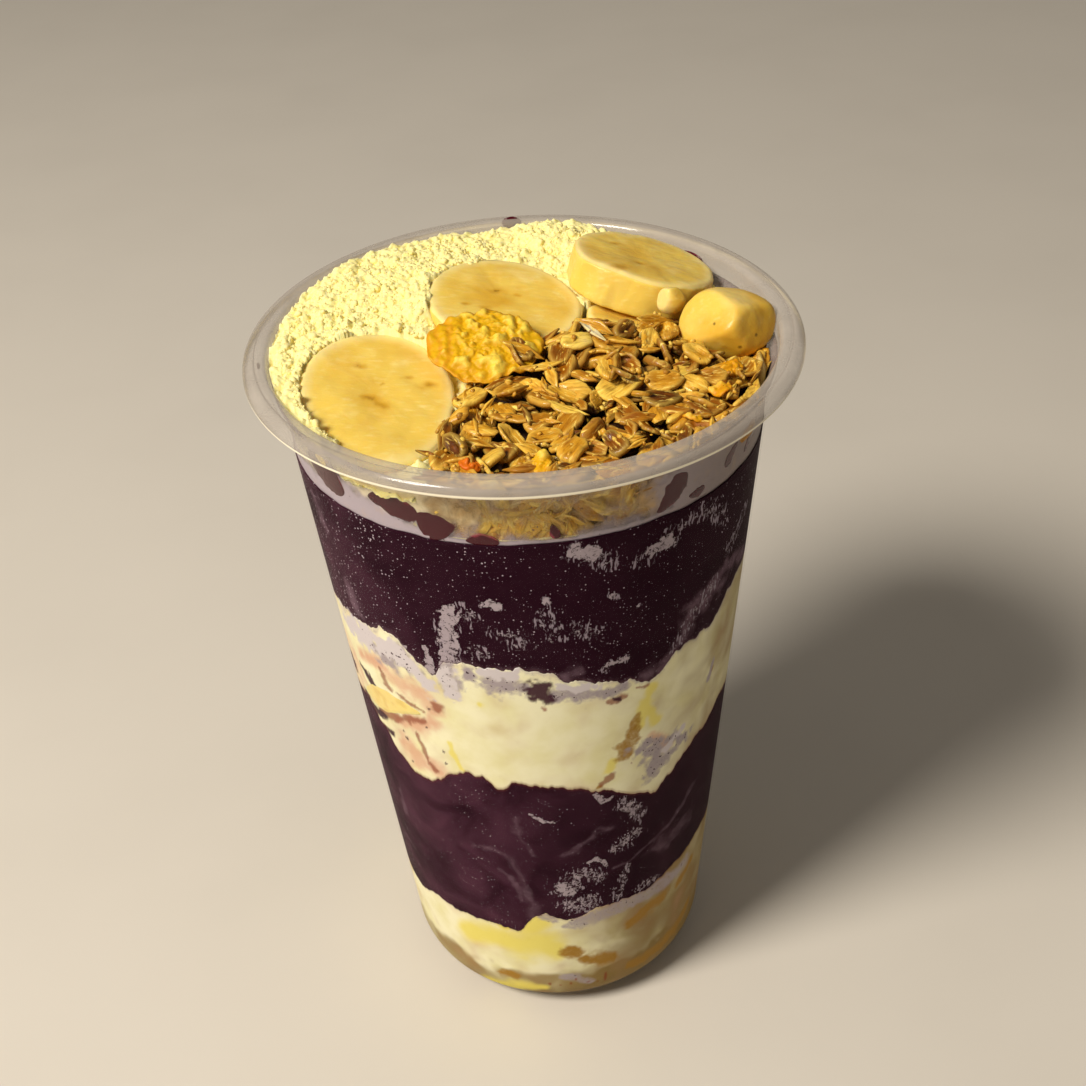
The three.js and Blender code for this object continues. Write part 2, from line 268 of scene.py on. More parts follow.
def piece(name, points, faces, look, replaces=(), marks=None, sharp=None):
    """Makes a mesh piece from points in millimetres: facing outwards, with its look and its marks.

    A mark is a number at each point, or one number for all."""
    mesh = bpy.data.meshes.new(name)
    mesh.from_pydata((np.asarray(points) * MM).tolist(), [], faces)
    made = bmesh.new()
    made.from_mesh(mesh)
    bmesh.ops.recalc_face_normals(made, faces=made.faces)
    made.to_mesh(mesh)
    made.free()
    mesh.shade_smooth()
    if sharp:
        mesh.set_sharp_from_angle(angle=math.radians(sharp))
    for mark, values in (marks or {}).items():
        layer = mesh.attributes.new(mark, "FLOAT", "POINT")
        layer.data.foreach_set("value", np.full(len(points), values, np.float32))
    mesh.materials.append(look)
    thing = bpy.data.objects.new(name, mesh)
    bpy.context.scene.collection.objects.link(thing)
    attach(thing, BODY)
    if replaces:
        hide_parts(*replaces)


def strokes(points, lines, torn, ragged, seed, soft=0.5):
    """Strength, 0 to 1, of strokes on the wall: each is a line of (azimuth, height, half-width) places.

    They wander, and their edges are torn by a share of their width, in lumps as wide as ragged (mm)."""
    wander = [0.35 * ragged * lumps(points, 1.4 * ragged, seed + shift) for shift in (300, 400)]
    azimuth = azimuth_of(points) + wander[0] / (math.radians(1) * MOUTH_RADIUS)
    height = points[:, 2] + wander[1]
    nearest = np.full(len(points), -9.0)
    for line in lines:
        for (at, z, half), (next_at, next_z, next_half) in zip(line, line[1:] or line):
            scale = math.radians(1) * float(wall_radius(z, 0))
            across = ((azimuth - at + 180) % 360 - 180) * scale
            run, rise = (next_at - at) * scale, next_z - z
            share = np.clip((across * run + (height - z) * rise) / max(run * run + rise * rise, 1e-6), 0, 1)
            away = np.hypot(across - share * run, height - z - share * rise)
            nearest = np.maximum(nearest, 1 - away / (half + (next_half - half) * share))
    return eased(0.5 + (nearest + torn * lumps(points, ragged, seed)) / soft)


# ---- Materials -----------------------------------------------------------------------------
SMOOTH = {"interpolation_type": "SMOOTHSTEP"}
TIMES = {"operation": "MULTIPLY"}
GROUND, COAT, MIXED = 6, 7, 2  # colour sockets of a Mix node


def node(tree, kind, inputs=(), output=0, stops=(), **settings):
    """Adds a shader node and returns one of its outputs.

    Its inputs, in order or by name, are values, sockets that feed them, sRGB colours or names of marks,
    which the mesh carries as a number at each point. Stops are the places and colours of a ramp."""
    made = tree.nodes.new("ShaderNode" + kind)
    for name, value in settings.items():
        setattr(made, name, value)
    for key, value in inputs.items() if isinstance(inputs, dict) else enumerate(inputs):
        if isinstance(value, str) and value.startswith("#"):
            value = linear(value)
        elif isinstance(value, str):
            value = node(tree, "Attribute", output="Fac", attribute_name=value)
        if isinstance(value, bpy.types.NodeSocket):
            tree.links.new(value, made.inputs[key])
        else:
            made.inputs[key].default_value = value
    for place, colour in stops[2:]:
        made.color_ramp.elements.new(place)
    for i, (place, colour) in enumerate(stops):
        made.color_ramp.elements[i].position = place
        made.color_ramp.elements[i].color = linear(colour)
    return made.outputs[output] if made.outputs else None


def blank(name):
    """A new material with an empty node tree, and the function that adds nodes to it."""
    look = bpy.data.materials.new(name)
    look.use_nodes = True
    look.node_tree.nodes.clear()
    return look, functools.partial(node, look.node_tree)


def grain(add, size, detail=3.0, rough=0.5, warp=0.0):
    """Evenly random unevenness in the food, its lumps size mm wide."""
    place = add("TexCoord", output="Object")
    inputs = {"Vector": place, "Scale": 1 / (size * MM), "Detail": detail, "Roughness": rough}
    return add("TexNoise", {**inputs, "Distortion": warp})


def coated(add, ground, *coats):
    """Colours laid over one another.

    A coat is its share, 0 to 1, as a mark, a socket or a pair to be added, and its colour. Two numbers
    between them are the values of the share at which the coat starts and at which it covers all."""
    for share, *limits, colour in coats:
        if isinstance(share, tuple):
            share = add("Math", share)
        if limits:
            share = add("MapRange", (share, *limits), **SMOOTH)
        ground = add("Mix", {0: share, GROUND: ground, COAT: colour}, output=MIXED, data_type="RGBA")
    return ground


def surfaced(add, colour, height=None, depth=0.0, cover=None, **settings):
    """Ends a look in a Principled surface.

    Height gives it relief of depth mm, and what is behind shows where cover is under 1."""
    inputs = {"Base Color": colour, **{k.replace("_", " "): v for k, v in settings.items()}}
    if height is not None:
        inputs["Normal"] = add("Bump", {"Height": height, "Distance": depth * MM, "Strength": 1.0})
    shader = add("BsdfPrincipled", inputs)
    if cover is not None:
        shader = add("MixShader", (cover, add("BsdfTransparent"), shader))
    add("OutputMaterial", {"Surface": shader})


def moulded_polypropylene(props):
    """Thin injection-moulded polypropylene: clear over the food, milky where it is thick, glossy."""
    look, add = blank("Polypropylene, injection moulded")
    facing = add("LayerWeight", {"Blend": 0.35}, output="Facing")
    edge = add("Math", (add("Math", (facing, 3.0), operation="POWER"), 0.2), **TIMES)
    cloud = add("Math", (grain(add, 9.0), 0.5))
    milk = add("Math", ("milk", cloud), **TIMES)
    cover = add("MapRange", (add("Math", (milk, edge)), 0.0, 1.0), **SMOOTH)
    # A painted highlight: a pale band along the rim's lower outer edge.
    colour = coated(add, (*props.tint, 1), ("lip", "#fff6dc"))
    surfaced(add, colour, cover=cover, Roughness=0.12, IOR=1.49)
    return look


def dairy_cream(props):
    """Whipped dairy cream pressed on the wall: smooth and pale, stained by the sorbet and by syrup."""
    look, add = blank("Dairy cream, whipped")
    cloudy = grain(add, 1.6, 5, 0.7, 0.8)
    smooth = grain(add, 7.0, 2, 0.4, 0.3)
    dots = add("Math", (add("Math", ("haze", 0.2), **TIMES), grain(add, 0.55, 1, 0.4)))
    colour = coated(
        add,
        (*props.cream, 1),
        (grain(add, 6.0), 0.35, 0.8, "#e9e2ac"),
        # Painted shade: brown-olive darkening on the right side, and low down in the bottom cream.
        (("soaked", smooth), 0.4, 1.5, "#8b733e"),
        (("peach", smooth), 0.4, 1.6, "#d8a184"),
        ("syrup", "#ecdc66"),
        (("ochre", cloudy), 0.55, 1.5, "#a47a2c"),
        (("haze", cloudy), 0.65, 1.5, "#a89ca0"),
        (("veil", cloudy), 0.75, 1.4, "#d2c9cb"),
        (dots, 0.84, 0.9, "#3d2430"),
        ("rust", "#8a3c22"),
        ("plum", "#3c1028"),
        ("fringe", "#7c4434"),
    )
    surfaced(add, colour, Roughness=0.6, IOR=1.45, Specular_IOR_Level=0.15)
    return look


def frost_needles(add, place, lean):
    """Thin straight lines, broken up, that all lean one way (degrees)."""
    slant = (0, math.radians(lean), 0)
    slanted = add("Mapping", {"Vector": place, "Rotation": slant, "Scale": (1, 1, 0.3)})
    inputs = {"Vector": slanted, "Scale": 1 / (0.55 * MM), "Detail": 1.0, "Roughness": 0.4}
    return add("MapRange", (add("TexNoise", inputs), 0.6, 0.68), **SMOOTH)


def frozen_acai(props):
    """Churned acai sorbet pressed on the wall: dark plum, with ice specks, ferns of frost and thin milk."""
    look, add = blank("Acai sorbet, churned and frozen")
    place = add("TexCoord", output="Object")
    distance = add("TexVoronoi", {"Vector": place, "Scale": 1 / (0.62 * MM)})
    size = add("SeparateColor", (distance.node.outputs["Color"],))
    specks = add("Math", (add("Math", (size, "icy"), **TIMES), distance), operation="SUBTRACT")
    swirl = add("MapRange", (grain(add, 9.0, 3, 0.5, 0.6), 0.2, 0.9), **SMOOTH)
    patchy = grain(add, 0.85, 4, 0.75, 0.5)
    needles = add("Math", [frost_needles(add, place, lean) for lean in (38.0, -42.0)], operation="MAXIMUM")
    frosty = add("MapRange", (add("Math", ("frost", patchy)), 0.7, 1.0), **SMOOTH)
    colour = coated(
        add,
        (*props.acai, 1),
        # Lighter plum swirls everywhere, much stronger on the left as painted light.
        (add("Math", ("milky", swirl), **TIMES), "#573244"),
        (("haze", grain(add, 2.4, 5, 0.65, 0.8)), 0.55, 1.9, "#806674"),
        (add("Math", (needles, frosty), **TIMES), "#91848f"),
        (("veil", patchy), 0.98, 1.12, "#a99ca3"),
        (specks, 0.0, 0.09, "#b9abb6"),
        ("fringe", "#5a2b2a"),
    )
    surfaced(add, colour, Roughness=0.6, IOR=1.42, Specular_IOR_Level=0.03)
    return look


def banana_flesh(props):
    """Ripe banana, cut with a knife: moist and pale yellow, darker at the seeds, with faint fibres."""
    look, add = blank("Banana flesh, cut")
    place = add("TexCoord", output="Object")
    stretched = add("VectorMath", (place, (0.3, 1, 1)), **TIMES)
    fibres = add("TexNoise", {"Vector": stretched, "Scale": 1 / (0.8 * MM), "Detail": 4.0})
    blotches = grain(add, 6.0, 4, 0.55, 0.6)
    colour = coated(
        add,
        (*props.flesh, 1),
        (fibres, 0.5, 0.9, "#f6e190"),
        (blotches, 0.5, 0.95, "#efcb56"),
        (blotches, 0.45, 0.2, "#f7e291"),
        # On the banana tip and the small piece, shade is painted shade and pale is painted light; on the
        # slices they are the flesh's own darker middle and paler rim.
        ("shade", "#deae36"),
        ("pale", "#f8e5a0"),
        ("seeds", "#d09a1e"),
        ("seed_cores", "#5d3c10"),
    )
    surfaced(add, colour, add("Math", (fibres, grain(add, 2.6, 3, 0.6))), 0.07, Roughness=0.3, IOR=1.4,
             Specular_IOR_Level=0.3, Subsurface_Weight=0.4, Subsurface_Radius=(1.0, 0.65, 0.25),
             Subsurface_Scale=2.2 * MM)
    return look


def dried_milk(props, glow):
    """Dried milk powder, sifted and clumped: matt, nearly white, yellower in hollows as painted shade; a
    heap glows.
    """
    look, add = blank("Milk powder, clumped")
    fine = grain(add, 0.4, 4, 0.7)
    colour = coated(
        add,
        (*props.powder, 1),
        # Painted shade: a deeper yellow in the low places of the relief.
        ("hollow", 0.2, 1.0, "#fbe486"),
        (grain(add, 4.0), 0.5, 0.8, "#ffee94"),
        (fine, 0.5, 0.75, "#fff9ca"),
    )
    surfaced(add, colour, fine, 0.05, Roughness=0.9, IOR=1.4, Specular_IOR_Level=0.2,
             Subsurface_Weight=glow, Subsurface_Radius=(1.0, 0.85, 0.5), Subsurface_Scale=1.5 * MM)
    return look


def rolled_oats():
    """Oat flakes, rolled, honeyed and toasted: golden, pale edges, brown furrows and a thin wet glaze."""
    look, add = blank("Oat flakes, rolled and toasted")
    grained = add("CombineXYZ", (add("Math", ("along", 0.22), **TIMES), "across", "which"))
    fibres = add("TexNoise", {"Vector": grained, "Scale": 1.9, "Detail": 4.0, "Roughness": 0.6})
    dark_fibres = add("MapRange", (fibres, 0.48, 0.7), **SMOOTH)
    toasts = [(0.0, "#efe6bd"), (0.2, "#fbd75e"), (0.45, "#e0a428"), (0.72, "#9c5c0a"), (1.0, "#552a03")]
    colour = coated(
        add,
        add("ValToRGB", ("toast",), stops=toasts),
        # Painted shade: darker brown on the lower side of each flake's edge.
        (add("Math", ("flank", 0.7), **TIMES), "#8f4e06"),
        (add("Math", (dark_fibres, 0.6), **TIMES), "#8c4e05"),
        (fibres, 0.46, 0.3, "#ffde72"),
        (add("Math", ("furrow", 0.5), **TIMES), "#683506"),
        (add("Math", ("rim", 0.35), **TIMES), "#f9d968"),
        # Painted shade on flakes that lie deep in the heap.
        ("deep", "#4a2204"),
    )
    surfaced(add, colour, fibres, 0.3, Roughness=0.38, IOR=1.46, Specular_IOR_Level=0.2, Coat_Weight=0.25,
             Coat_Roughness=0.15, Subsurface_Weight=0.06, Subsurface_Radius=(1.0, 0.6, 0.15),
             Subsurface_Scale=0.5 * MM)
    return look


def gap_shade_crumb(props):
    """The inside of the granola heap, seen between the flakes: its dark brown is painted shade, with
    lighter crumb.
    """
    look, add = blank("Granola core, painted shade")
    crumb = grain(add, 1.6, 5, 0.7)
    colour = coated(add, (*props.crumb, 1), (crumb, 0.5, 0.7, "#5a3008"))
    surfaced(add, colour, crumb, 0.6, Roughness=0.55, IOR=1.45)
    return look


def corn_crisp(props):
    """Corn flake, rolled and toasted: blistered, deep yellow, darker in the valleys between its ridges,
    browned at its thin edge.
    """
    look, add = blank("Corn flake, toasted")
    blisters = grain(add, 1.4, 5, 0.6)
    colour = coated(
        add,
        (*props.flake, 1),
        (add("Math", ("low_side", 0.6), **TIMES), "#dca00c"),
        # Painted highlight: paler tops on the blisters.
        (("tops", blisters), 0.75, 1.6, "#f4d452"),
        (("valleys", blisters), 0.7, 1.5, "#d89c10"),
        ((add("Math", ("edge", 0.7), **TIMES), blisters), 0.8, 1.5, "#d8960f"),
        ("toasted", "#d9650c"),
    )
    surfaced(add, colour, blisters, 0.15, Roughness=0.5, IOR=1.47, Specular_IOR_Level=0.3,
             Subsurface_Weight=0.25, Subsurface_Radius=(1.0, 0.6, 0.1), Subsurface_Scale=0.8 * MM)
    return look


def melted_acai(props):
    """Melted acai smeared on the wall: wet and dark wine red, thinner and redder at its edges."""
    look, add = blank("Acai, melted smear")
    colour = coated(add, (*props.smear, 1), (("thin", grain(add, 1.8, 3, 0.6)), 0.6, 1.5, "#8e2c3e"))
    surfaced(add, colour, Roughness=0.18, IOR=1.38)
    return look


def milk_mist(props):
    """A film of milk and thaw water on the inner wall: greyish white and half clear, with small dots."""
    look, add = blank("Milk film, dried on the wall")
    dots = add("MapRange", (grain(add, 0.7, 1.0, 0.4), 0.78, 0.81), **SMOOTH)
    patches = add("MapRange", (add("Math", ("film", grain(add, 3.0, 5, 0.65, 0.8))), 0.5, 1.5), **SMOOTH)
    colour = coated(
        add,
        (*props.film, 1),
        # Painted shade: the film darker on the right side.
        ("dim", "#7c6c62"),
        ("creamy", "#eadcb6"),
        (("warm", grain(add, 2.0, 3, 0.5)), 0.5, 1.4, "#c9a468"),
        (dots, "#4a3038"),
    )
    surfaced(add, colour, cover=add("Math", (patches, dots), operation="MAXIMUM"), Roughness=0.5, IOR=1.4)
    return look


def plain_floor(props):
    """A plain matt board to stand on."""
    look, add = blank("Board, matt painted")
    colour = coated(add, (*props.floor, 1), (grain(add, 60.0), 0.3, 0.9, "#d8d2c8"))
    surfaced(add, colour, Roughness=0.7)
    return look


# ---- The cup -------------------------------------------------------------------------------
def rounded(corners):
    """A profile through (radius, height, cut) corners; cut is how far from the corner its arc starts."""
    profile = []
    for i, (r, z, cut) in enumerate(corners):
        here = np.array((r, z), float)
        if not cut:
            profile.append(here)
            continue
        before, after = (np.array(corners[k][:2], float) - here for k in (i - 1, i + 1))
        start = here + before / np.linalg.norm(before) * cut
        end = here + after / np.linalg.norm(after) * cut
        for t in np.linspace(0, 1, 5):
            profile.append((1 - t) ** 2 * start + 2 * t * (1 - t) * here + t * t * end)
    return np.array(profile)


def foot_arc(radius, lowest):
    """The rounding of the foot as (radius, height, 0) corners, from the table up to the cone."""
    angles = np.linspace(math.asin((FOOT_ROUNDING - lowest) / radius), 0, 10)
    return [(FOOT_CENTRE + radius * math.cos(a), FOOT_ROUNDING - radius * math.sin(a), 0) for a in angles]


def cup_profile():
    """Half section of the cup, from the middle of its underside round to the middle of its floor."""
    outside = [(0.5, FOOT_RECESS, 0), (FOOT_RING_INSIDE - 2, FOOT_RECESS, 0.8), (FOOT_RING_INSIDE, 0, 0.5)]
    outside += foot_arc(FOOT_ROUNDING, 0)
    outside += [(cone_radius(z), z, 0) for z in range(12, 133, 4)]
    top = CUP_HEIGHT
    rim = [
        (NECK_RADIUS, NECK_HEIGHT, 0.5),
        (NECK_RADIUS + 1.15, 135.2, 0.5),
        (NECK_RADIUS + 1.4, 136.8, 0.3),
        (MOUTH_RADIUS - 1, 136.9, 0.4),
        (MOUTH_RADIUS, 137.6, 0.3),
        (MOUTH_RADIUS, 137.95, 0),
        (MOUTH_RADIUS, LIP_HIGHLIGHT_BAND[1], 0),
        (MOUTH_RADIUS, 138.9, 0.7),
        (MOUTH_RADIUS - 1.5, top, 0.7),
        (MOUTH_RADIUS - 2.2, top - 0.12, 0.25),
        (MOUTH_RADIUS - 2.6, top - 0.02, 0.2),
        (MOUTH_RADIUS - 3.7, top - 0.05, 0.5),
        (RIM_INSIDE, top - 0.8, 0.3),
        (NECK_RADIUS + 0.7, 137, 0.5),
        (NECK_RADIUS + 0.45, 135.4, 0.5),
        (NECK_RADIUS - WALL, NECK_HEIGHT, 0.5),
    ]
    inside = [(cone_radius(z) - WALL, z, 0) for z in range(132, 9, -4)]
    inside += foot_arc(FOOT_ROUNDING - WALL, FLOOR_HEIGHT)[::-1] + [(0.5, FLOOR_HEIGHT, 0)]
    return rounded(outside + rim + inside)


def make_cup(props):
    """The cup, milky where the plastic is thick, with a painted highlight as a pale band round its rim's
    outer edge.
    """
    azimuths = np.arange(props.spokes) * 360 / props.spokes
    points, faces = closed_body([on_cylinder(azimuths, r, z) for r, z in cup_profile()])
    height = points[:, 2]
    milk = np.interp(height, [0, 8, 131, 134.5, 137, 140], [0.12, props.milk, props.milk, 0.22, 0.42, 0.5])
    outside = from_axis(points) > MOUTH_RADIUS - 0.7
    # Painted highlight along the rim's lower outer edge, which is also made less clear.
    lip = outside * eased((LIP_HIGHLIGHT_BAND[1] - height) / 0.2) * eased((height - LIP_HIGHLIGHT_BAND[0]) / 0.3)
    piece("polypropylene_cup", points, faces, moulded_polypropylene(props), ["cup"],
          {"milk": milk + lip, "lip": lip}, sharp=60)


# ---- What fills it -------------------------------------------------------------------------
SPOKES = 720
ROW = 0.36  # height of a row of faces
GAP = 0.01  # between a layer and the line it shares with the next
RING_RADIUS = 40.0  # of the ring on which the unevenness of lines round the cup is measured


def acai_swell(azimuth):
    """The slight unevenness round the top of the upper acai."""
    return 0.25 * lumps(on_cylinder(azimuth, RING_RADIUS, 0.0), 5.0, 14)


def torn_line(pairs, azimuth, ragged, seed):
    """A line between layers with the small raggedness of scooped food."""
    spots = on_cylinder(azimuth, RING_RADIUS, 0.0)
    waves = sum(share * lumps(spots, size, seed + i, 2)
                for i, (size, share) in enumerate([(6.0, 1.0), (2.2, 0.7), (0.8, 0.85)]))
    return round_line(pairs, azimuth) + ragged * waves


def layer_body(bottom, top):
    """A layer between two lines of heights, its side just inside the cup's wall."""
    azimuth = round_azimuths(SPOKES)
    rows = max(8, int((top - bottom).mean() / ROW))
    side = [
        on_cylinder(azimuth, wall_radius(z, IN_WALL), z)
        for z in (bottom + (top - bottom) * share for share in np.linspace(0, 1, rows))
    ]

    def cap(edge, shares):
        """Rings that go inwards from a layer's edge and grow level."""
        middle = edge[:, 2].mean()
        for share in shares:
            z = middle + (edge[:, 2] - middle) * share**2
            yield np.column_stack([edge[:, :2] * share, z])

    inward = (0.9, 0.6, 0.3, 0.1)
    return closed_body([*list(cap(side[0], inward))[::-1], *side, *cap(side[-1], inward)])


# Strokes on the wall, as lines of (azimuth, height, half-width).
# Pale frosted tongues in the upper acai.
UPPER_VEILS = [
    [(-22, 109.5, 1.7), (-22.5, 107, 2.1), (-23.5, 103, 2), (-24.5, 99, 2), (-24.5, 95.5, 2.2)],
    [(-61.5, 97, 0.7), (-57, 96, 0.8), (-52.5, 95.5, 0.7)],
    [(-44, 99, 0.4), (-41, 98.5, 0.8), (-37.5, 97.5, 0.7)],
    [(-30.5, 99, 0.8), (-30.5, 95.5, 1.1), (-31, 92, 1.2)],
    [(16.5, 96, 0.8), (18.5, 96, 0.5), (21.5, 96.5, 0.4)],
    [(-13, 112, 0.7), (-11.5, 112, 1.1), (-10, 111.5, 0.9)], [(1.5, 112.5, 0.8)], [(17.5, 111, 0.8)],
    [(24, 107.5, 0.4)], [(8.5, 122.5, 1.7), (11.5, 121.5, 1.9)], [(27, 118.5, 1.4), (31.5, 119, 1.7)],
    [(-112, 96, 2.2), (-106, 101, 2.8)], [(128, 97, 3.4), (134, 103, 2.2)],
]
# Ferns of frost on the upper acai.
UPPER_FROST = [
    [(-18.5, 109, 2.2), (-16.5, 108, 1.9)], [(-12.5, 112, 1), (-10, 111.5, 0.9)], [(1.5, 112.5, 0.9)],
    [(-9.5, 105, 1.9), (-5, 104, 2.2)], [(1, 109, 2), (3.5, 104.5, 2)], [(8.5, 106, 1.8), (14, 103, 1.8)],
    [(-18.5, 101.5, 1.5), (-14, 100.5, 1.1)], [(15.5, 95.5, 1.1), (21.5, 96.5, 0.9)],
    [(8.5, 122.5, 2.1), (14, 120.5, 2.3), (17, 118, 1.4)],
    [(23, 117, 1.3), (27.5, 118, 2.1), (32, 119.5, 2.2), (35.5, 120.5, 1.7)],
    [(36, 94, 1.4), (42, 99, 1.7), (50, 103, 1.7)], [(56, 108, 1.5), (64, 112, 1.6)],
    [(38.5, 122, 1.5), (46.5, 120.5, 1.8), (52.5, 115.5, 1.3)], [(17.5, 111, 0.9)], [(24, 107.5, 0.7)],
    [(-23, 105, 2.6), (-24, 98, 2.2)], [(95, 118, 2.5), (110, 112, 3.4), (118, 104, 2.5)],
    [(165, 108, 3.4), (178, 104, 4.2)], [(-150, 116, 2.5), (-142, 110, 3.4)],
    [(-105, 108, 2.5), (-98, 103, 3.5)],
]
# Thin milk between the upper acai and the wall.
UPPER_HAZE = [
    [(55, 101, 1.6), (48, 100.5, 1.7), (41, 99.5, 1.6), (39, 95.5, 1.5), (32, 90.5, 1.6), (27.5, 90, 1.2)],
    [(77.5, 98, 1.1), (55, 104, 1.4), (48, 102.5, 1.4), (41, 101, 1.7)],
    [(3.5, 95.5, 1.1), (7, 94, 1.9), (10, 93, 1.1)], [(-63.5, 120.5, 1.5), (-61.5, 115, 1.5)],
    [(-57.5, 105.5, 1.8), (-55, 99.5, 1.8)], [(150, 100, 6), (170, 98, 6)],
    [(-120, 98, 5), (-100, 100, 6)],
]
# The same in the lower acai.
LOWER_VEILS = [
    [(-7, 60.5, 0.5), (-4, 59, 0.7), (0, 58, 0.4)], [(12.5, 64, 0.6), (15, 62, 1), (18, 62, 0.5)],
    [(10, 45.5, 0.5), (13, 46, 0.8), (16.5, 43.5, 0.5)],
    [(-26, 46, 0.2), (-23.5, 45.5, 0.2), (-21.5, 45, 0.2)], [(0.5, 39.5, 1), (3.5, 37.5, 1.2)],
    [(105, 52, 1), (112, 49, 3)],
]
LOWER_FROST = [
    [(0, 38, 1.8), (3.5, 39, 2.6), (6, 42.5, 1.9)], [(10, 42.5, 1.7), (14, 40, 1.8)],
    [(4, 33.5, 2.2), (10, 33.5, 2.6), (13, 29.5, 1.8)], [(20, 33, 1.3), (23, 39, 1.1), (24.5, 41.5, 0.7)],
    [(20.5, 47.5, 2), (25.5, 49.5, 2.2)], [(30, 32.5, 1.4), (36, 33.5, 1.4)],
    [(21.5, 59, 2), (27.5, 55, 2)], [(120, 50, 5), (130, 46, 4)], [(-160, 45, 5)],
    [(-110, 55, 4), (-100, 50, 3)],
]
LOWER_HAZE = [
    [(-26.5, 49, 0.7), (-20, 49, 0.6), (-14.5, 47.5, 0.7), (-12.5, 43.5, 0.6), (-10, 39.5, 0.8),
     (-9, 33.5, 0.9), (-9, 29.5, 0.9)],
    [(-11.5, 59, 1), (-11, 54.5, 0.7), (-8, 51.5, 0.6), (-7.5, 48.5, 0.5)],
    [(1.5, 48.5, 0.6), (6, 49.5, 0.7), (10.5, 52, 0.7), (13.5, 54, 0.8), (17, 53.5, 0.7)],
    [(-19.5, 43.5, 0.3), (-15.5, 42, 0.5), (-13, 39, 0.5), (-12.5, 35, 0.5)],
    [(19, 42.5, 0.3), (24.5, 42, 0.4), (28.5, 43.5, 0.5), (32.5, 45, 0.5), (40, 47, 0.5), (47, 49.5, 0.7),
     (51, 52.5, 0.8)],
    [(-64.5, 38, 0.5), (-59, 36.5, 0.5), (-55.5, 34.5, 0.2)], [(-57.5, 52.5, 0.7), (-58.5, 46.5, 0.7)],
    [(37.5, 42, 2.8), (48, 43.5, 2.3)], [(100, 60, 1.7), (108, 52, 1.1), (112, 44, 1.6)],
    [(-150, 60, 2.3), (-140, 52, 1.6), (-138, 44, 2.3)],
]
# Sorbet showing grey through the middle cream.
CREAM_HAZE = [
    [(-53.5, 94, 1.9), (-47.5, 93, 2.8), (-40, 94, 2.8), (-35.5, 92, 1.9)],
    [(-25, 96, 2.5), (-25, 91, 1.8)], [(-18.5, 95, 1.9), (-11, 93.5, 2.2), (-5, 93, 2)],
    [(3, 91, 1.9), (9, 90, 1.8), (15.5, 89.5, 1.2), (21.5, 90, 1)],
    [(28, 72, 2.2), (34.5, 67, 2.6), (31.5, 64.5, 1.8)], [(34, 72, 1.2), (43, 69.5, 1.8)],
    [(55, 82, 0.8), (54, 79, 0.6)], [(100, 94, 3.8), (125, 90, 3.8), (150, 90, 3.8)],
    [(-165, 90, 3.8), (-140, 89, 3.8)], [(-100, 92, 5), (-85, 94, 5)], [(115, 66, 5), (135, 64, 3.8)],
]
# Thin, bluish milk over it.
CREAM_VEILS = [
    [(-66, 93, 2), (-58, 94.5, 2.6), (-50, 94.5, 2.8), (-43, 95, 2.8), (-37, 94, 2.4), (-33, 90, 1.8)],
    [(-26, 95, 1.8), (-25, 90, 1.6)], [(-16, 96.5, 1.1), (-8, 96, 1.2)], [(4, 92.6, 0.9), (13, 91.5, 1)],
    [(36, 69, 1.2), (42, 72, 1)],
]
# Sorbet melted into the cream.
CREAM_PEACH = [
    [(-60.5, 87, 1.3), (-49.5, 89, 2), (-42.5, 87.5, 2.5), (-35.5, 86.5, 2.2), (-31.5, 84, 1.8)],
    [(-46.5, 76.5, 1.5), (-39.5, 78, 2.5), (-33, 80.5, 2.1)],
    [(-44, 70.5, 2.5), (-41.5, 67.5, 2.7), (-34, 68, 2.1)], [(-85, 84, 5.6), (-72, 80, 5.6)],
    [(30, 74, 1.2), (37, 70, 1.5)],
]
# Streaks and specks of sorbet in it.
CREAM_PLUM = [
    [(-63, 83.5, 0.5), (-59, 82, 1.4), (-56, 80, 1.4)],
    [(-66, 74, 1.6), (-60, 73.5, 1.4), (-54, 74.5, 0.7)], [(-1.5, 92.5, 2.2), (0, 90.5, 1.4)],
    [(-3.5, 90.5, 0.9)], [(-33.5, 84, 0.4)], [(-45, 72.5, 0.4)], [(-46, 74, 0.3)], [(-36, 78.5, 0.3)],
    [(-49, 65.5, 0.3)], [(-45, 66.5, 0.2)], [(-31, 70.5, 0.3)], [(-31.5, 73.5, 0.3)],
    [(-59, 70, 0.8), (-52, 71, 0.7)], [(18, 87.5, 0.4), (19.5, 87, 0.5)],
    [(-100, 82, 2), (-84, 80, 3.2), (-74, 79, 2)], [(140, 74, 1.3), (150, 72, 2.1)], [(-150, 78, 1.8)],
]
CREAM_RUST = [
    [(-56, 75, 0.8), (-50, 76.3, 1.1), (-43, 78.3, 0.9), (-36, 80.2, 0.7)],
    [(-50.5, 88, 0.5), (-49, 85, 1), (-47.5, 84, 0.5)],
    [(-46.5, 84.5, 0.2), (-42, 83.5, 0.5), (-38, 83, 0.4), (-35.5, 82.5, 0.4)], [(-30.5, 85, 1.3)],
    [(-40.5, 75.5, 0.5), (-39, 72.5, 0.6), (-38, 69, 0.5), (-35.5, 67.5, 0.6)], [(-1, 88, 0.5)],
    [(16.5, 87, 0.7), (19, 87, 1), (21.5, 87.5, 0.4)], [(24, 88.5, 0.2), (28, 88, 0.4)],
    [(17.5, 68, 0.8), (14.5, 66.5, 0.6)], [(24, 69.5, 0.2)], [(-90, 76, 1.2), (-80, 73, 1.2)],
]
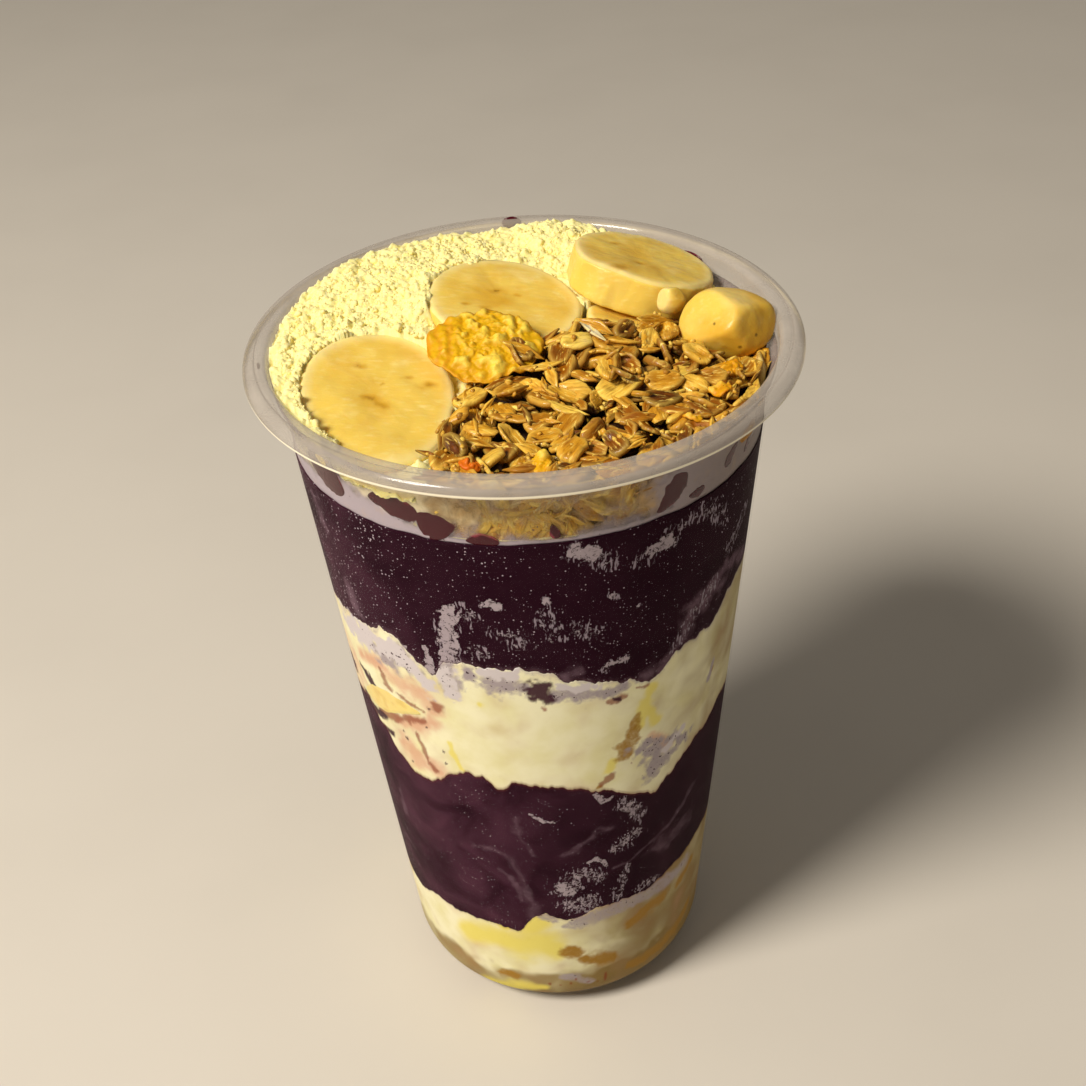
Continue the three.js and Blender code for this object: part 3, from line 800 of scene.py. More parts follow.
# Condensed milk and syrup.
CREAM_SYRUP = [
    [(29, 87, 1), (27, 83, 1.3), (26, 79.5, 1.3)], [(31.5, 78, 1), (28.5, 81.5, 1)],
    [(18, 71.5, 0.9), (16.5, 69.5, 0.8)], [(-28.5, 76.5, 0.5), (-27.5, 73, 0.6), (-26, 70.5, 0.5)],
    [(-17.5, 88, 0.7)], [(160, 80, 2.4), (164, 74, 3)],
]
CREAM_OCHRE = [
    [(25.5, 81.5, 0.7), (23.5, 77, 1.4), (22, 74.5, 2.1), (21.5, 72.5, 1.6)],
    [(55, 81, 0.7), (54, 79.5, 0.4)], [(14, 66, 0.7)],
]
# The same in the cream at the bottom.
BASE_SYRUP = [
    [(-36.5, 20, 2.9), (-25.5, 21.5, 3.6), (-15.5, 21.5, 4.5), (-7.5, 21.5, 3.9), (-3, 19.5, 2)],
    [(-11, 26, 2.9), (-6, 28.5, 2.2)], [(-21, 27, 1.6)], [(-31.5, 4.5, 1.6), (-18, 6, 1.6), (-7.5, 7, 1)],
    [(110, 20, 4.9), (135, 18, 6.5)], [(-130, 20, 6.5), (-110, 18, 4.9)],
]
BASE_OCHRE = [
    [(1.5, 19.3, 1.7), (5, 18.6, 2)], [(9, 15.5, 1.7), (14, 14.5, 2.2), (19, 14, 1.5)],
    [(-24, 10, 1.3), (-19, 10, 1.5)], [(26, 23.5, 1.4), (33, 24.5, 1.9), (40, 25, 1.7)],
    [(50, 25, 1.4), (57, 28, 1.2)], [(26, 9, 1), (39, 9, 1.4), (52, 10, 1.6), (60, 13, 1.6)],
    [(100, 14, 2.6), (130, 12, 2)], [(-150, 14, 2.6), (-170, 16, 3.9)],
]
BASE_RUST = [
    [(16.5, 9.5, 0.3), (16, 7, 0.2)], [(-5.5, 8.5, 0.3)], [(-1.5, 8, 0.2)], [(2.5, 8.5, 0.3)],
    [(6.5, 9, 0.2)], [(9.5, 8, 0.2)], [(13, 7.5, 0.2)], [(4.5, 9.5, 0.2)],
]
BASE_HAZE = [
    [(1, 27, 1), (7.5, 28, 2), (13.5, 29, 2.4), (21.5, 29.5, 2.6), (30.5, 29.5, 2.4), (40.5, 29, 2),
     (51.5, 29.5, 2)],
    [(-6, 30.5, 1.6), (-3, 29.5, 1.6)], [(1, 11.5, 1.3), (11, 8, 1)], [(95, 28, 3.9), (130, 26, 3.9)],
]


def make_layers(props):
    """The four layers of cream and sorbet, with what shows on each at the wall as marks."""
    azimuth = round_azimuths(SPOKES)
    floor_line = np.full(SPOKES, FLOOR_HEIGHT - IN_WALL)
    base_top = torn_line(BASE_CREAM_TOP, azimuth, props.ragged * 0.7, 11)
    lower_top = torn_line(LOWER_ACAI_TOP, azimuth, props.ragged * 0.8, 12)
    middle_top = torn_line(MIDDLE_CREAM_TOP, azimuth, props.ragged * 1.1, 13)
    acai_top = ACAI_TOP - 0.4 + acai_swell(azimuth)
    cream, acai = dairy_cream(props), frozen_acai(props)

    def near(line, reach):
        """1 at a line round the cup, 0 at reach mm from it."""
        level = np.interp(azimuth_of(points), azimuth, line, period=360)
        return np.clip(1 - np.abs(points[:, 2] - level) / reach, 0, 1)

    # The numbers after a list of strokes say how torn and how ragged they are, their seed and how soft.
    points, faces = layer_body(floor_line, base_top - GAP)
    # Painted shade, darker towards the bottom of the cup.
    low = eased((13.0 + 2.5 * lumps(points, 5.0, 41) - points[:, 2]) / 4)
    piece("cream_bottom", points, faces, cream, ["cream_base"], {
        "syrup": strokes(points, BASE_SYRUP, 0.3, 4, 21, 1.5) * 0.9,
        "ochre": strokes(points, BASE_OCHRE, 0.4, 2.0, 22, 1.3) * 0.95,
        "haze": strokes(points, BASE_HAZE, 0.4, 3, 23, 1.2) * 0.75,
        # Painted shade on the right side and at the bottom.
        "soaked": right_side(points, -14, 55, 0.8) + 0.7 * low,
        "rust": strokes(points, BASE_RUST, 0.4, 0.8, 24) * 0.7,
        "peach": 0.2 * eased(lumps(points, 9.0, 25)),
        "plum": 0,
        "veil": 0,
        "fringe": near(base_top, 0.6) * 0.5,
    })

    points, faces = layer_body(base_top + GAP, lower_top - GAP)
    frost = strokes(points, LOWER_FROST, 0.4, 1.6, 28, 0.8)
    icy = 0.16 + 0.08 * eased(lumps(points, 8.0, 26))
    piece("acai_sorbet_lower", points, faces, acai, ["acai_lower"], {
        "icy": icy + 0.2 * strokes(points, LOWER_FROST, 0.4, 4, 27, 1.2),
        "frost": frost,
        "veil": np.maximum(strokes(points, LOWER_VEILS, 0.5, 1.0, 29) * 0.62, frost * 0.5),
        "haze": strokes(points, LOWER_HAZE, 0.8, 2.0, 30, 2.6) * 0.55,
        # Lighter swirls, with painted light on the left side.
        "milky": 0.2 + 0.7 * left_side(points, 25, 60),
        "fringe": near(lower_top, 0.8) * 0.5,
    })

    points, faces = layer_body(lower_top + GAP, middle_top - GAP)
    haze = strokes(points, CREAM_HAZE, 0.9, 1.6, 33, 1.8)
    piece("cream_between", points, faces, cream, ["cream_middle"], {
        "syrup": strokes(points, CREAM_SYRUP, 0.4, 1.6, 31, 1.2) * 0.8,
        "ochre": strokes(points, CREAM_OCHRE, 0.4, 1.6, 32, 0.9) * 0.8,
        "haze": np.maximum(haze * 0.95, near(middle_top, 1.8) * 0.6),
        # Painted shade on the right side.
        "soaked": right_side(points, 5, 60, 0.5),
        "rust": strokes(points, CREAM_RUST, 0.5, 1.0, 34, 0.9) * 0.75,
        "peach": strokes(points, CREAM_PEACH, 0.5, 2, 35, 1.8) * 0.75,
        "plum": strokes(points, CREAM_PLUM, 0.5, 0.9, 36, 0.7) * 0.97,
        "veil": strokes(points, CREAM_VEILS, 0.9, 1.6, 37, 1.4),
        "fringe": near(lower_top, 0.8) * 0.7,
    })

    points, faces = layer_body(middle_top + GAP, acai_top)
    # Painted light on the left side: lighter swirls and more ice specks there, and fewer specks on the
    # right as painted shade.
    left = left_side(points, -15, 50)
    frost = strokes(points, UPPER_FROST, 0.4, 1.6, 38, 0.8)
    haze = strokes(points, UPPER_HAZE, 0.8, 2.0, 40, 2.2)
    icy = 0.24 + 0.12 * eased(lumps(points, 8.0, 37)) + 0.06 * left
    piece("acai_sorbet_upper", points, faces, acai, ["acai_upper"], {
        "icy": icy - 0.05 * eased((azimuth_of(points) - 20) / 20),
        "frost": frost,
        "veil": np.maximum(strokes(points, UPPER_VEILS, 0.5, 1.0, 39) * 0.62, frost * 0.45),
        "haze": np.maximum(haze * 0.75, near(middle_top, 1.6) * 0.5),
        "milky": 0.1 + 0.6 * left,
        "fringe": near(middle_top, 0.5) * 0.3,
    })


# ---- Shapes shared by the toppings ---------------------------------------------------------
def emptied(made):
    """Points and faces of a bmesh, which is freed."""
    points = np.array([v.co for v in made.verts])
    faces = [[v.index for v in face.verts] for face in made.faces]
    made.free()
    return points, faces


def node_body(name):
    """Points and faces of a CAD node, in millimetres, with its split corners merged."""
    made = bmesh.new()
    made.from_mesh(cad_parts[name].data)
    bmesh.ops.remove_doubles(made, verts=made.verts, dist=1e-6)
    made.verts.ensure_lookup_table()
    points, faces = emptied(made)
    return points / MM, faces


def lie_of(name):
    """How a flat CAD piece lies: middle of its top face, axes (across, back, up) and half sizes."""
    points, _ = node_body(name)
    _, _, axes = np.linalg.svd(points - points.mean(0), full_matrices=False)
    up = axes[np.argmax(np.abs(axes[:, 2]))]
    up = up * np.sign(up[2])
    across = np.array((1.0, 0, 0)) - up[0] * up
    across /= np.linalg.norm(across)
    axes = np.stack([across, np.cross(up, across), up])
    local = points @ axes.T
    low, high = local.min(0), local.max(0)
    top = np.array(((low[0] + high[0]) / 2, (low[1] + high[1]) / 2, high[2]))
    return top @ axes, axes, (high - low) / 2


def sight(*names):
    """A tree of CAD nodes that rays can be cast at."""
    points, faces, _ = joined([node_body(name) for name in names])
    return BVHTree.FromPolygons(points.tolist(), faces)


def heights(tree, x, y, missing, upward=False):
    """Height of the first surface met from above, or from below, over each point of the plan."""
    start, way = (0.0, 1) if upward else (2 * CUP_HEIGHT, -1)
    hits = (tree.ray_cast((a, b, start), (0, 0, way))[0] for a, b in zip(x, y))
    return np.array([missing if hit is None else hit.z for hit in hits])


def plate(cells, bias=0.0):
    """Grid over a plate of radius 1, as two square arrays; bias makes it finer at the left and back."""
    line = np.linspace(-1, 1, cells + 1)
    a, b = np.meshgrid(line + bias * (line**2 - 1), line - bias * (line**2 - 1))
    return a * np.sqrt(1 - b * b / 2), b * np.sqrt(1 - a * a / 2)


def spread(values, steps):
    """A square array in which high places have grown sideways by some cells."""
    for _ in range(steps):
        framed = np.pad(values, 1, mode="edge")
        values = np.maximum.reduce([framed[1:-1, 1:-1], framed[:-2, 1:-1], framed[2:, 1:-1],
                                    framed[1:-1, :-2], framed[1:-1, 2:]])
    return values


def grid_body(x, y, top, side_radius, bottom, rows=8):
    """Closed heap on a round plate: its top from square arrays, its side down the wall to a flat bottom."""
    size = len(x)
    index = np.arange(size * size).reshape(size, size)
    quads = np.stack([index[:-1, :-1], index[:-1, 1:], index[1:, 1:], index[1:, :-1]], -1)
    faces = quads.reshape(-1, 4).tolist()
    above = np.concatenate([index[0, :-1], index[:-1, -1], index[-1, :0:-1], index[:0:-1, 0]])
    points = [stacked(x, y, top)]
    edge = points[0][above]
    total = size * size
    for share in np.linspace(0, 1, rows + 1)[1:]:
        z = edge[:, 2] + (bottom - edge[:, 2]) * share
        points.append(on_cylinder(azimuth_of(edge), side_radius(z), z))
        below = total + np.arange(len(edge))
        faces += np.stack([above, np.roll(above, -1), np.roll(below, -1), below], -1).tolist()
        above, total = below, total + len(edge)
    points.append([[0.0, 0.0, bottom]])
    faces += [[int(a), int(b), total] for a, b in zip(above, np.roll(above, -1))]
    return np.concatenate(points), faces


def turned(rng, count):
    """Random rotation matrices (count x 3 x 3), of any heading and tilt."""
    heading, lean_to = rng.uniform(0, TAU, (2, count))
    return rotation(heading, lean_to, math.pi * rng.uniform(0, 1, count))


def rotation(heading, lean_to, tilt):
    """Rotation matrices: turned about Z by heading, then tilted towards lean_to (radians)."""
    zero, one = np.zeros_like(heading), np.ones_like(heading)

    def about_z(angle):
        """Rotation matrices about Z."""
        c, s = np.cos(angle), np.sin(angle)
        return np.stack([c, -s, zero, s, c, zero, zero, zero, one], -1).reshape(-1, 3, 3)

    c, s = np.cos(tilt), np.sin(tilt)
    lean = np.stack([c, zero, s, zero, one, zero, -s, zero, c], -1).reshape(-1, 3, 3)
    return about_z(lean_to) @ lean @ about_z(heading - lean_to)


def pebble(subdivisions):
    """Points and faces of a small round lump of radius 1."""
    made = bmesh.new()
    bmesh.ops.create_icosphere(made, subdivisions=subdivisions, radius=1.0)
    return emptied(made)


def strewn(base, places, sizes, rng, uneven, flat=0.8):
    """Copies of a lump, each turned, sized and dented in its own way."""
    points, faces = base
    count = len(places)
    dents = 1 + uneven * rng.uniform(-1, 1, (count, len(points), 1))
    shaped = points[None] * dents * (1, 1, flat) * np.asarray(sizes)[:, None, None]
    moved = np.einsum("nij,nkj->nki", turned(rng, count), shaped) + np.asarray(places)[:, None]
    offsets = np.arange(count)[:, None, None] * len(points)
    return moved.reshape(-1, 3), (np.array(faces)[None] + offsets).reshape(-1, 3).tolist()


# ---- What shows through the wall -----------------------------------------------------------
# Lines of (azimuth, height, half-width) again: melted acai on the inner wall.
SMEARS = [
    [(-60.5, 131, 1.8), (-56, 130.4, 3.2), (-51, 129, 3.6), (-47, 128, 2)],
    [(-39, 129.8, 1.1), (-34, 129.7, 2.6), (-30, 129.1, 2.6), (-26, 128.7, 1.9)],
    [(-26.5, 129, 1.4), (-24, 127.8, 3), (-21.5, 126.6, 3.5), (-20, 125.2, 3)],
    [(-15.5, 125.1, 0.7), (-11.5, 125.2, 1.4), (-8, 124.9, 0.7)],
    [(3.6, 128, 0.4), (4.2, 126.6, 0.8), (4.8, 125.4, 0.7)],
    [(36, 131.2, 1.1), (34, 130.2, 2.6), (32, 128.4, 2.6), (29.5, 126.4, 1.1), (28, 125.8, 0.5)],
    [(37, 126.2, 0.5), (39.5, 126, 1.1), (42, 126.4, 0.7)],
    [(54, 130.5, 0.5), (51, 128.8, 1.5), (49.5, 127.2, 0.8)],
    [(65, 131, 0.5), (61, 128.8, 1.4), (58.5, 126.6, 0.7)],
    [(108, 132, 1.6), (113, 129.5, 3.5), (116, 126.5, 2.2)], [(150, 131, 1.9), (153, 127, 2.4)],
    [(-175, 130, 2.7), (-168, 128, 3.2), (-162, 126.5, 1.6)], [(-132, 131, 1.4), (-129, 127, 2.4)],
    [(-98, 130, 1.9), (-92, 128, 3.2), (-86, 127, 1.6)],
]
# Drops of it on the rim, as azimuth, height, half-width and half-height.
RIM_DROPS = [
    (-179, 139.2, 1.9, 1.2), (158, 138.4, 0.7, 0.5), (151, 137.8, 0.6, 0.5), (132, 137.2, 2.8, 1.3),
    (-84, 139, 0.8, 0.5),
]
# Banana in the middle cream.
BANANA_IN_CREAM = [(-64, 76.6, 1.4), (-57, 78, 2.9), (-50, 80, 2.9), (-43, 81.2, 1.6), (-37, 81.6, 0.7)]
# Where the film is thick, where it is creamy, and where the granola shows through it.
FILM_THICK = [
    [(-70, 124, 3), (-50, 126.5, 2.6), (-38, 126.5, 2.6), (-27, 125.5, 1.2)],
    [(28, 130, 3), (50, 131, 4), (80, 130, 5)], [(30, 126.5, 1), (50, 126.5, 1.6), (80, 126.5, 2)],
]
FILM_CREAMY = [[(-44, 133, 2), (-34, 132.6, 3), (-22, 131.5, 3.4), (-14, 130, 2)]]
FILM_CLEAR = [[(-20, 131, 4), (0, 130.5, 5), (22, 131, 4)], [(-10, 127.5, 2.5), (12, 127.5, 2.5)]]


def wall_ribbon(line, thick, depth, torn, seed, around=16):
    """A flat streak on the wall along (azimuth, height, half-width) places, depth mm into the wall."""
    stops = np.linspace(0, len(line) - 1, 14 * len(line))
    at, z, half = (np.interp(stops, np.arange(len(line)), column) for column in np.array(line, float).T)
    soften = np.ones(9) / 9
    at, z, half = (np.convolve(np.pad(column, 4, mode="reflect", reflect_type="odd"), soften, "valid")
                   for column in (at, z, half))
    radius = wall_radius(z, 0)
    path = stacked(np.radians(at) * radius, z)
    ahead = np.gradient(path, axis=0)
    ahead /= np.linalg.norm(ahead, axis=1)[:, None]
    share = np.linspace(-1, 1, len(path))
    half = half * np.sqrt(np.clip(1 - share**6, 0.01, 1))
    spots = stacked(*path.T, seed * 7.0)
    edges = [1 + torn * lumps(spots + (0, 0, side), 1.6, seed) for side in (0, 40)]
    rings = []
    for a in even_angles(around):
        side = math.cos(a)
        reach = side * half * (edges[0] if side > 0 else edges[1])
        u, v = path[:, 0] - ahead[:, 1] * reach, path[:, 1] + ahead[:, 0] * reach
        back = depth + 0.12 * side**6 + thick * max(-math.sin(a), 0)
        rings.append(on_cylinder(np.degrees(u / radius), wall_radius(v, back), v))
    return closed_body(np.stack(rings, axis=1))


def make_smears(props):
    """Melted acai on the inner wall and on the rim."""
    look = melted_acai(props)
    ribbons = [wall_ribbon(line, thick=0.7, depth=0.5, torn=0.3, seed=40 + number)
               for number, line in enumerate(SMEARS)]
    points, faces, _ = joined(ribbons)
    thin = 1 - strokes(points, SMEARS, 0.3, 2.0, 95, 0.6)
    piece("acai_smears", points, faces, look, marks={"thin": thin})
    drops = []
    for at, z, wide, tall in RIM_DROPS:
        body, body_faces = pebble(3)
        centre = on_cylinder(at, wall_radius(z, WALL) if z < RIM_SIDE_TOP else RIM_INSIDE + 1.5, z)
        body = body * (1 + 0.12 * lumps(body + at, 1.0, 97)[:, None]) * (wide, tall, 0.3)
        c, s = math.cos(math.radians(at)), math.sin(math.radians(at))
        drops.append((body @ np.array([(c, s, 0), (0, 0, 1), (s, -c, 0)]) + centre, body_faces))
    points, faces, _ = joined(drops)
    thin = np.random.default_rng(96).uniform(0, 0.5, len(points))
    piece("acai_drops_on_rim", points, faces, look, marks={"thin": thin})


def make_banana_in_cream(look):
    """Banana pressed on the wall inside the middle cream."""
    low, high = box_mm("banana_in_cream")
    points, faces = wall_ribbon(BANANA_IN_CREAM, thick=3.0, depth=0.28, torn=0.15, seed=60, around=32)
    points[:, 2] = np.clip(points[:, 2], low[2], high[2])
    piece("banana_through_wall", points, faces, look, ["banana_in_cream"], {
        "shade": 0.3 * eased(0.5 + lumps(points, 3.0, 64)), "pale": 0.5,
        "seeds": 0.3 * eased(1.4 * lumps(points, 2.0, 65)), "seed_cores": 0})


def make_film(props):
    """The film of milk on the inner wall above the acai, thickest where it meets it."""
    azimuth = round_azimuths(SPOKES)
    meets = ACAI_TOP - 0.5
    line = acai_swell(azimuth) + meets
    shares = np.linspace(0, 1, 40)
    rings = []
    # Up the outer face and down the inner one, which needs fewer rings.
    for depth, order in ((FILM_FACE, shares), (FILM_DEPTH + 0.15, shares[::-6])):
        for share in order:
            z = line + (FILM_TOP - line) * share
            rings.append(on_cylinder(azimuth, wall_radius(z, depth), z))
    points, faces = closed_body(rings, capped=False)
    uneven = 1.0 + 0.4 * lumps(points * (1, 1, 0), 5.0, 94)
    meniscus = 0.8 * np.exp(-(((points[:, 2] - meets) / uneven) ** 4))
    thick = strokes(points, FILM_THICK, 0.4, 3, 98, 0.8)
    clear = strokes(points, FILM_CLEAR, 0.5, 3, 99, 1.6)
    creamy = strokes(points, FILM_CREAMY, 0.4, 2, 100, 1.2)
    piece("milk_film", points, faces, milk_mist(props), marks={
        "film": np.clip(0.5 + 0.5 * thick + 0.4 * creamy - 0.3 * clear + 0.8 * meniscus, 0, 1.3),
        "warm": np.clip(0.6 * clear - meniscus, 0, 1),
        "creamy": creamy,
        # Painted shade on the right side.
        "dim": right_side(points, 10, 45, 0.75),
    })


# ---- Milk powder ---------------------------------------------------------------------------
POWDER_CELLS = 296
POWDER_BIAS = 0.22  # how much finer its grid is at the left and back, where the powder lies open
TOPPING_NODES = ["banana_slice_front", "banana_slice_middle", "banana_slice_back", "banana_slice_under",
                 "banana_piece", "banana_end", "corn_flake"]
# Slices with powder banked against them: the azimuths, seen from their middle, between which it lies, and
# how far it rises at most.
POWDER_BANKS = {"banana_slice_front": (-170, -28, 4.5), "banana_slice_middle": (-175, -62, 8.0),
                "banana_slice_back": (-165, -110, 4.5)}
# Places where it lies low, as middle, reach and level.
POWDER_DIPS = [((-14.5, -32.0), (16.5, 11.0), 132.0), ((-12.0, -12.0), (4.0, 8.0), 134.0)]


def powder_radius(z):
    """Radius of the heap's side at height z, just inside the milk film."""
    return wall_radius(z, FILM_DEPTH + 0.1)


def banked(x, y, top):
    """Height of the powder with soft banks against the slices, and its dip where a slice meets the wall."""
    for name, (first, last, most_rise) in POWDER_BANKS.items():
        middle, axes, half = lie_of(name)
        plane = middle[2] - ((x - middle[0]) * axes[2][0] + (y - middle[1]) * axes[2][1]) / axes[2][2]
        local = np.stack([x - middle[0], y - middle[1], plane - middle[2]], -1) @ axes.T
        reach = np.hypot(local[..., 0] / half[0], local[..., 1] / half[1])
        beyond = (reach - 1) * half[:2].mean()
        beyond = beyond + 0.9 * lumps(stacked(x, y, 0), 2.6, 108).reshape(x.shape)
        turn = (azimuth_of(local) - (first + last) / 2 + 180) % 360 - 180
        facing = eased((abs(last - first) / 2 - np.abs(turn)) / 18)
        bank = plane + 0.25 - 0.3 * np.maximum(beyond, 0) - 1.6 * eased((-beyond - 0.2) / 0.9)
        share = facing * eased((4.6 - beyond) / 1.5) * eased((top - plane + most_rise) / 2)
        top = np.where(beyond > -1.1, top + np.maximum(bank - top, 0) * share, top)
    for place, reach, level in POWDER_DIPS:
        away = np.hypot((x - place[0]) / reach[0], (y - place[1]) / reach[1])
        top = top - np.maximum(top - level, 0) * eased((1.3 - away) / 0.4)
    return top


def make_powder(props):
    """The heap of milk powder, its clumps as relief."""
    low_level = ACAI_TOP + 0.4
    tree = sight("milk_powder")
    x, y = plate(POWDER_CELLS, POWDER_BIAS)
    rim = wall_radius(NECK_HEIGHT, FILM_DEPTH) - 0.5
    ring = np.arange(360.0)
    edge = heights(tree, *on_cylinder(ring, rim, 0.0)[:, :2].T, low_level)
    azimuth = np.degrees(np.arctan2(x, -y)) % 360
    reach = powder_radius(np.interp(azimuth, [*ring, 360], [*edge, edge[0]]))
    x, y = x * reach, y * reach
    inner = np.minimum(1, rim / np.maximum(np.hypot(x, y), 1e-6))
    top = heights(tree, (x * inner).ravel(), (y * inner).ravel(), low_level).reshape(x.shape)
    top = spread(top, 3)
    open_share = np.clip((top - low_level - 3) / 3, 0, 1)
    top = np.where(open_share > 0.5, banked(x, y, top), top)
    spots = stacked(x, y, top)
    large, small, fine = (np.abs(lumps(spots, size, seed, 2)).reshape(x.shape)
                          for size, seed in ((3.4, 101), (1.5, 102), (0.75, 103)))
    top = top + props.relief * (1.0 * large + 0.7 * small + 0.3 * fine - 0.7) * open_share
    points, faces = grid_body(x, y, top, powder_radius, ACAI_TOP + 0.1)
    points[:, 2] = np.minimum(points[:, 2], HIGHEST)
    # Painted shade in the low places between the clumps; the loose grains get none.
    hollow = np.zeros(len(points))
    hollow[: x.size] = np.clip(1.0 - 1.5 * (small + 0.7 * large + 0.3 * fine), 0, 1).ravel()
    piece("milk_powder_heap", points, faces, dried_milk(props, 0.4), ["milk_powder"],
          {"hollow": hollow})
    bare = (open_share > 0.9) & (inner > 0.999) & ((x < -18) | (y > -10))
    make_grains(props, x, y, top, bare, points)


def make_grains(props, x, y, top, bare, spots):
    """Loose clumps and crumbs of powder on the grid's spots that are bare and that no topping covers."""
    bare = np.flatnonzero(bare.ravel())
    covered = heights(sight(*TOPPING_NODES), x.ravel()[bare], y.ravel()[bare], 0.0)
    bare = bare[covered < top.ravel()[bare] + 0.4]
    cell_size = np.abs(np.gradient(x, axis=1) * np.gradient(y, axis=0)).ravel()[bare]
    rng = np.random.default_rng(104)
    clumps, crumbs = (spots[rng.choice(bare, count, p=cell_size / cell_size.sum())]
                      for count in (props.clumps, props.crumbs))
    bodies = [
        strewn(pebble(2), clumps - (0, 0, 0.25), 0.35 + 0.6 * rng.beta(1.2, 3, len(clumps)), rng, 0.22),
        strewn(pebble(1), crumbs, rng.uniform(0.12, 0.26, len(crumbs)), rng, 0.3),
    ]
    points, faces, _ = joined(bodies)
    points[:, 2] = np.minimum(points[:, 2], HIGHEST)
    piece("milk_powder_grains", points, faces, dried_milk(props, 0.0), marks={"hollow": 0})


# ---- Banana --------------------------------------------------------------------------------
# Seeds of each slice, as (across, back, size, darkness) from the middle of its top face. A chord is the
# side where the top face was cut off straight: the way it faces, in degrees, and its distance from the
# middle. Grown is the way in which the slice reaches further, and by how much. Lobes turns its outline.
SLICES = {
    "banana_slice_front": {
        "seeds": [(-3.2, 6.6, 1, 0.5), (0.7, 2.2, 0.28, 1), (-0.9, -1.5, 1.3, 0.3), (0.6, -3, 1.1, 0.1),
                  (8.7, 2.3, 1.1, 0.25), (5, 4, 0.6, 0.1)],
        "grown": (8, 2.6), "lobes": 0.4,
    },
    "banana_slice_middle": {
        "seeds": [(-1.4, 3, 0.9, 0.6), (-6.9, -1.8, 0.7, 0.2), (2.4, 2, 0.6, 0.1), (-3.4, -2.6, 0.8, 0.1)],
        "lobes": 1.5,
    },
    "banana_slice_back": {
        "seeds": [(-4.8, 4.3, 1, 0.3), (-1.1, -2.9, 0.9, 0.25), (1.5, -4.3, 0.8, 0.3),
                  (-4.5, -7, 1.6, 0.15)],
        "chord": (-25.5, 10.8), "lobes": 2.6,
    },
    "banana_slice_under": {"seeds": [], "lobes": 0.9},
}
SLICE_SPOKES = 144


def slice_outline(angle, wide, deep, number, slice_):
    """Radius of a slice's top and bottom outline at each angle from its middle."""
    rounding = 1 / np.hypot(np.sin(angle) / wide, np.cos(angle) / deep)
    rounding *= 1 + 0.012 * np.cos(3 * angle + slice_["lobes"]) - 0.012
    around = stacked(np.sin(angle) * 6, np.cos(angle) * 6, number * 9.0)
    rounding += 0.16 * lumps(around, 3.0, 110 + number)
    if "grown" in slice_:
        heading, most = slice_["grown"]
        rounding += most * np.clip(np.cos(angle - math.radians(heading)), 0, 1) ** 3
    top = rounding
    if "chord" in slice_:
        heading, distance = slice_["chord"]
        facing = np.maximum(np.cos(angle - math.radians(heading)), 0.01)
        ripple = 0.25 * lumps(around * 2.0, 3.0, 117)
        top = (rounding**-18.0 + ((distance + ripple) / facing) ** -18.0) ** (-1 / 18)
    return top, rounding


def slice_body(name, slice_, number):
    """A slice cut by knife: its faces nearly flat, its edge soft, its middle a little sunk."""
    middle, axes, half = lie_of(name)
    wide, deep, thick = half[0], half[1], 2 * half[2] - 0.1
    soft = min(0.9, thick / 4)
    angle = even_angles(SLICE_SPOKES)
    top_outline, bottom_outline = slice_outline(angle, wide, deep, number, slice_)

    def edge(level, turn, slope):
        """A ring of the soft edge beside a face at some level."""
        return 1, level + turn * soft * (1 - math.cos(slope)), soft * (1 - math.sin(slope))

    rings = [(share, -thick, soft) for share in (0.3, 0.6, 0.85)]
    rings += [edge(-thick, 1, slope) for slope in np.radians(np.linspace(0, 90, 5))]
    rings += [(1, -thick + soft + share * (thick - 2 * soft), 0) for share in np.linspace(0.1, 0.9, 8)]
    rings += [edge(0, -1, slope) for slope in np.radians(np.linspace(90, 0, 6))]
    rings += [(share, 0, soft) for share in np.linspace(0.98, 0.03, 34)]
    local = []
    for share, z, inward in rings:
        rounding = top_outline + (bottom_outline - top_outline) * min(1, -z / thick)
        radius = share * (rounding - inward)
        local.append(stacked(radius * np.sin(angle), -radius * np.cos(angle), z))
    points, faces = closed_body(local)
    edge_radius = np.concatenate([np.tile(top_outline, len(rings)), [1, 1]])
    reach = from_axis(points) / edge_radius
    topside = points[:, 2] > -0.6 * soft
    spots = points + number * 31.0
    away = points[:, :2] / np.maximum(from_axis(points), 0.5)[:, None]
    rays = np.column_stack([away * 9, reach * 1.2 + number])
    bright = lumps(rays, 1.6, 124, 3)
    points[:, 2] += topside * (0.2 * lumps(spots, 5.0, 121) + 0.03 * bright * eased(reach * 2))
    points[:, 2] -= topside * (0.3 * np.exp(-((reach / 0.3) ** 2)) + 0.12 * reach**4)
    bulge = 1 + np.where(topside, 0, 0.03 * lumps(spots * (1, 1, 0.5), 3.2, 125))
    points[:, :2] *= bulge[:, None]
    glow, cores = np.zeros(len(points)), np.zeros(len(points))
    for i, (u, v, size, dark) in enumerate(slice_["seeds"]):
        swing = 0.35 * math.sin(number + 1.7 * i)
        du, dv = points[:, 0] - u, points[:, 1] - v
        along = du * math.cos(swing) + dv * math.sin(swing)
        side = dv * math.cos(swing) - du * math.sin(swing)
        spot = np.hypot(along / (1.5 * size), side / (0.8 * size)) + 0.45 * lumps(spots, 1.2, 122)
        glow = np.maximum(glow, topside * eased((1.5 - spot) / 1.3))
        cores = np.maximum(cores, topside * dark * eased(1.1 - 2.4 * spot))
        points[:, 2] -= 0.1 * topside * np.exp(-(spot**2) * 3)
    shade = eased(0.4 + 0.8 * lumps(spots, 6.0, 123)) * (0.3 + 0.8 * (1 - reach)) * topside
    pale = eased((reach - 0.78) / 0.2) * 0.7 * topside + 0.12 * bright * eased(reach * 2)
    marks = {
        "shade": np.clip(shade, 0, 1),
        "pale": np.clip(pale, 0, 1),
        "seeds": 0.75 * glow,
        "seed_cores": cores,
    }
    return points @ axes + middle, faces, marks


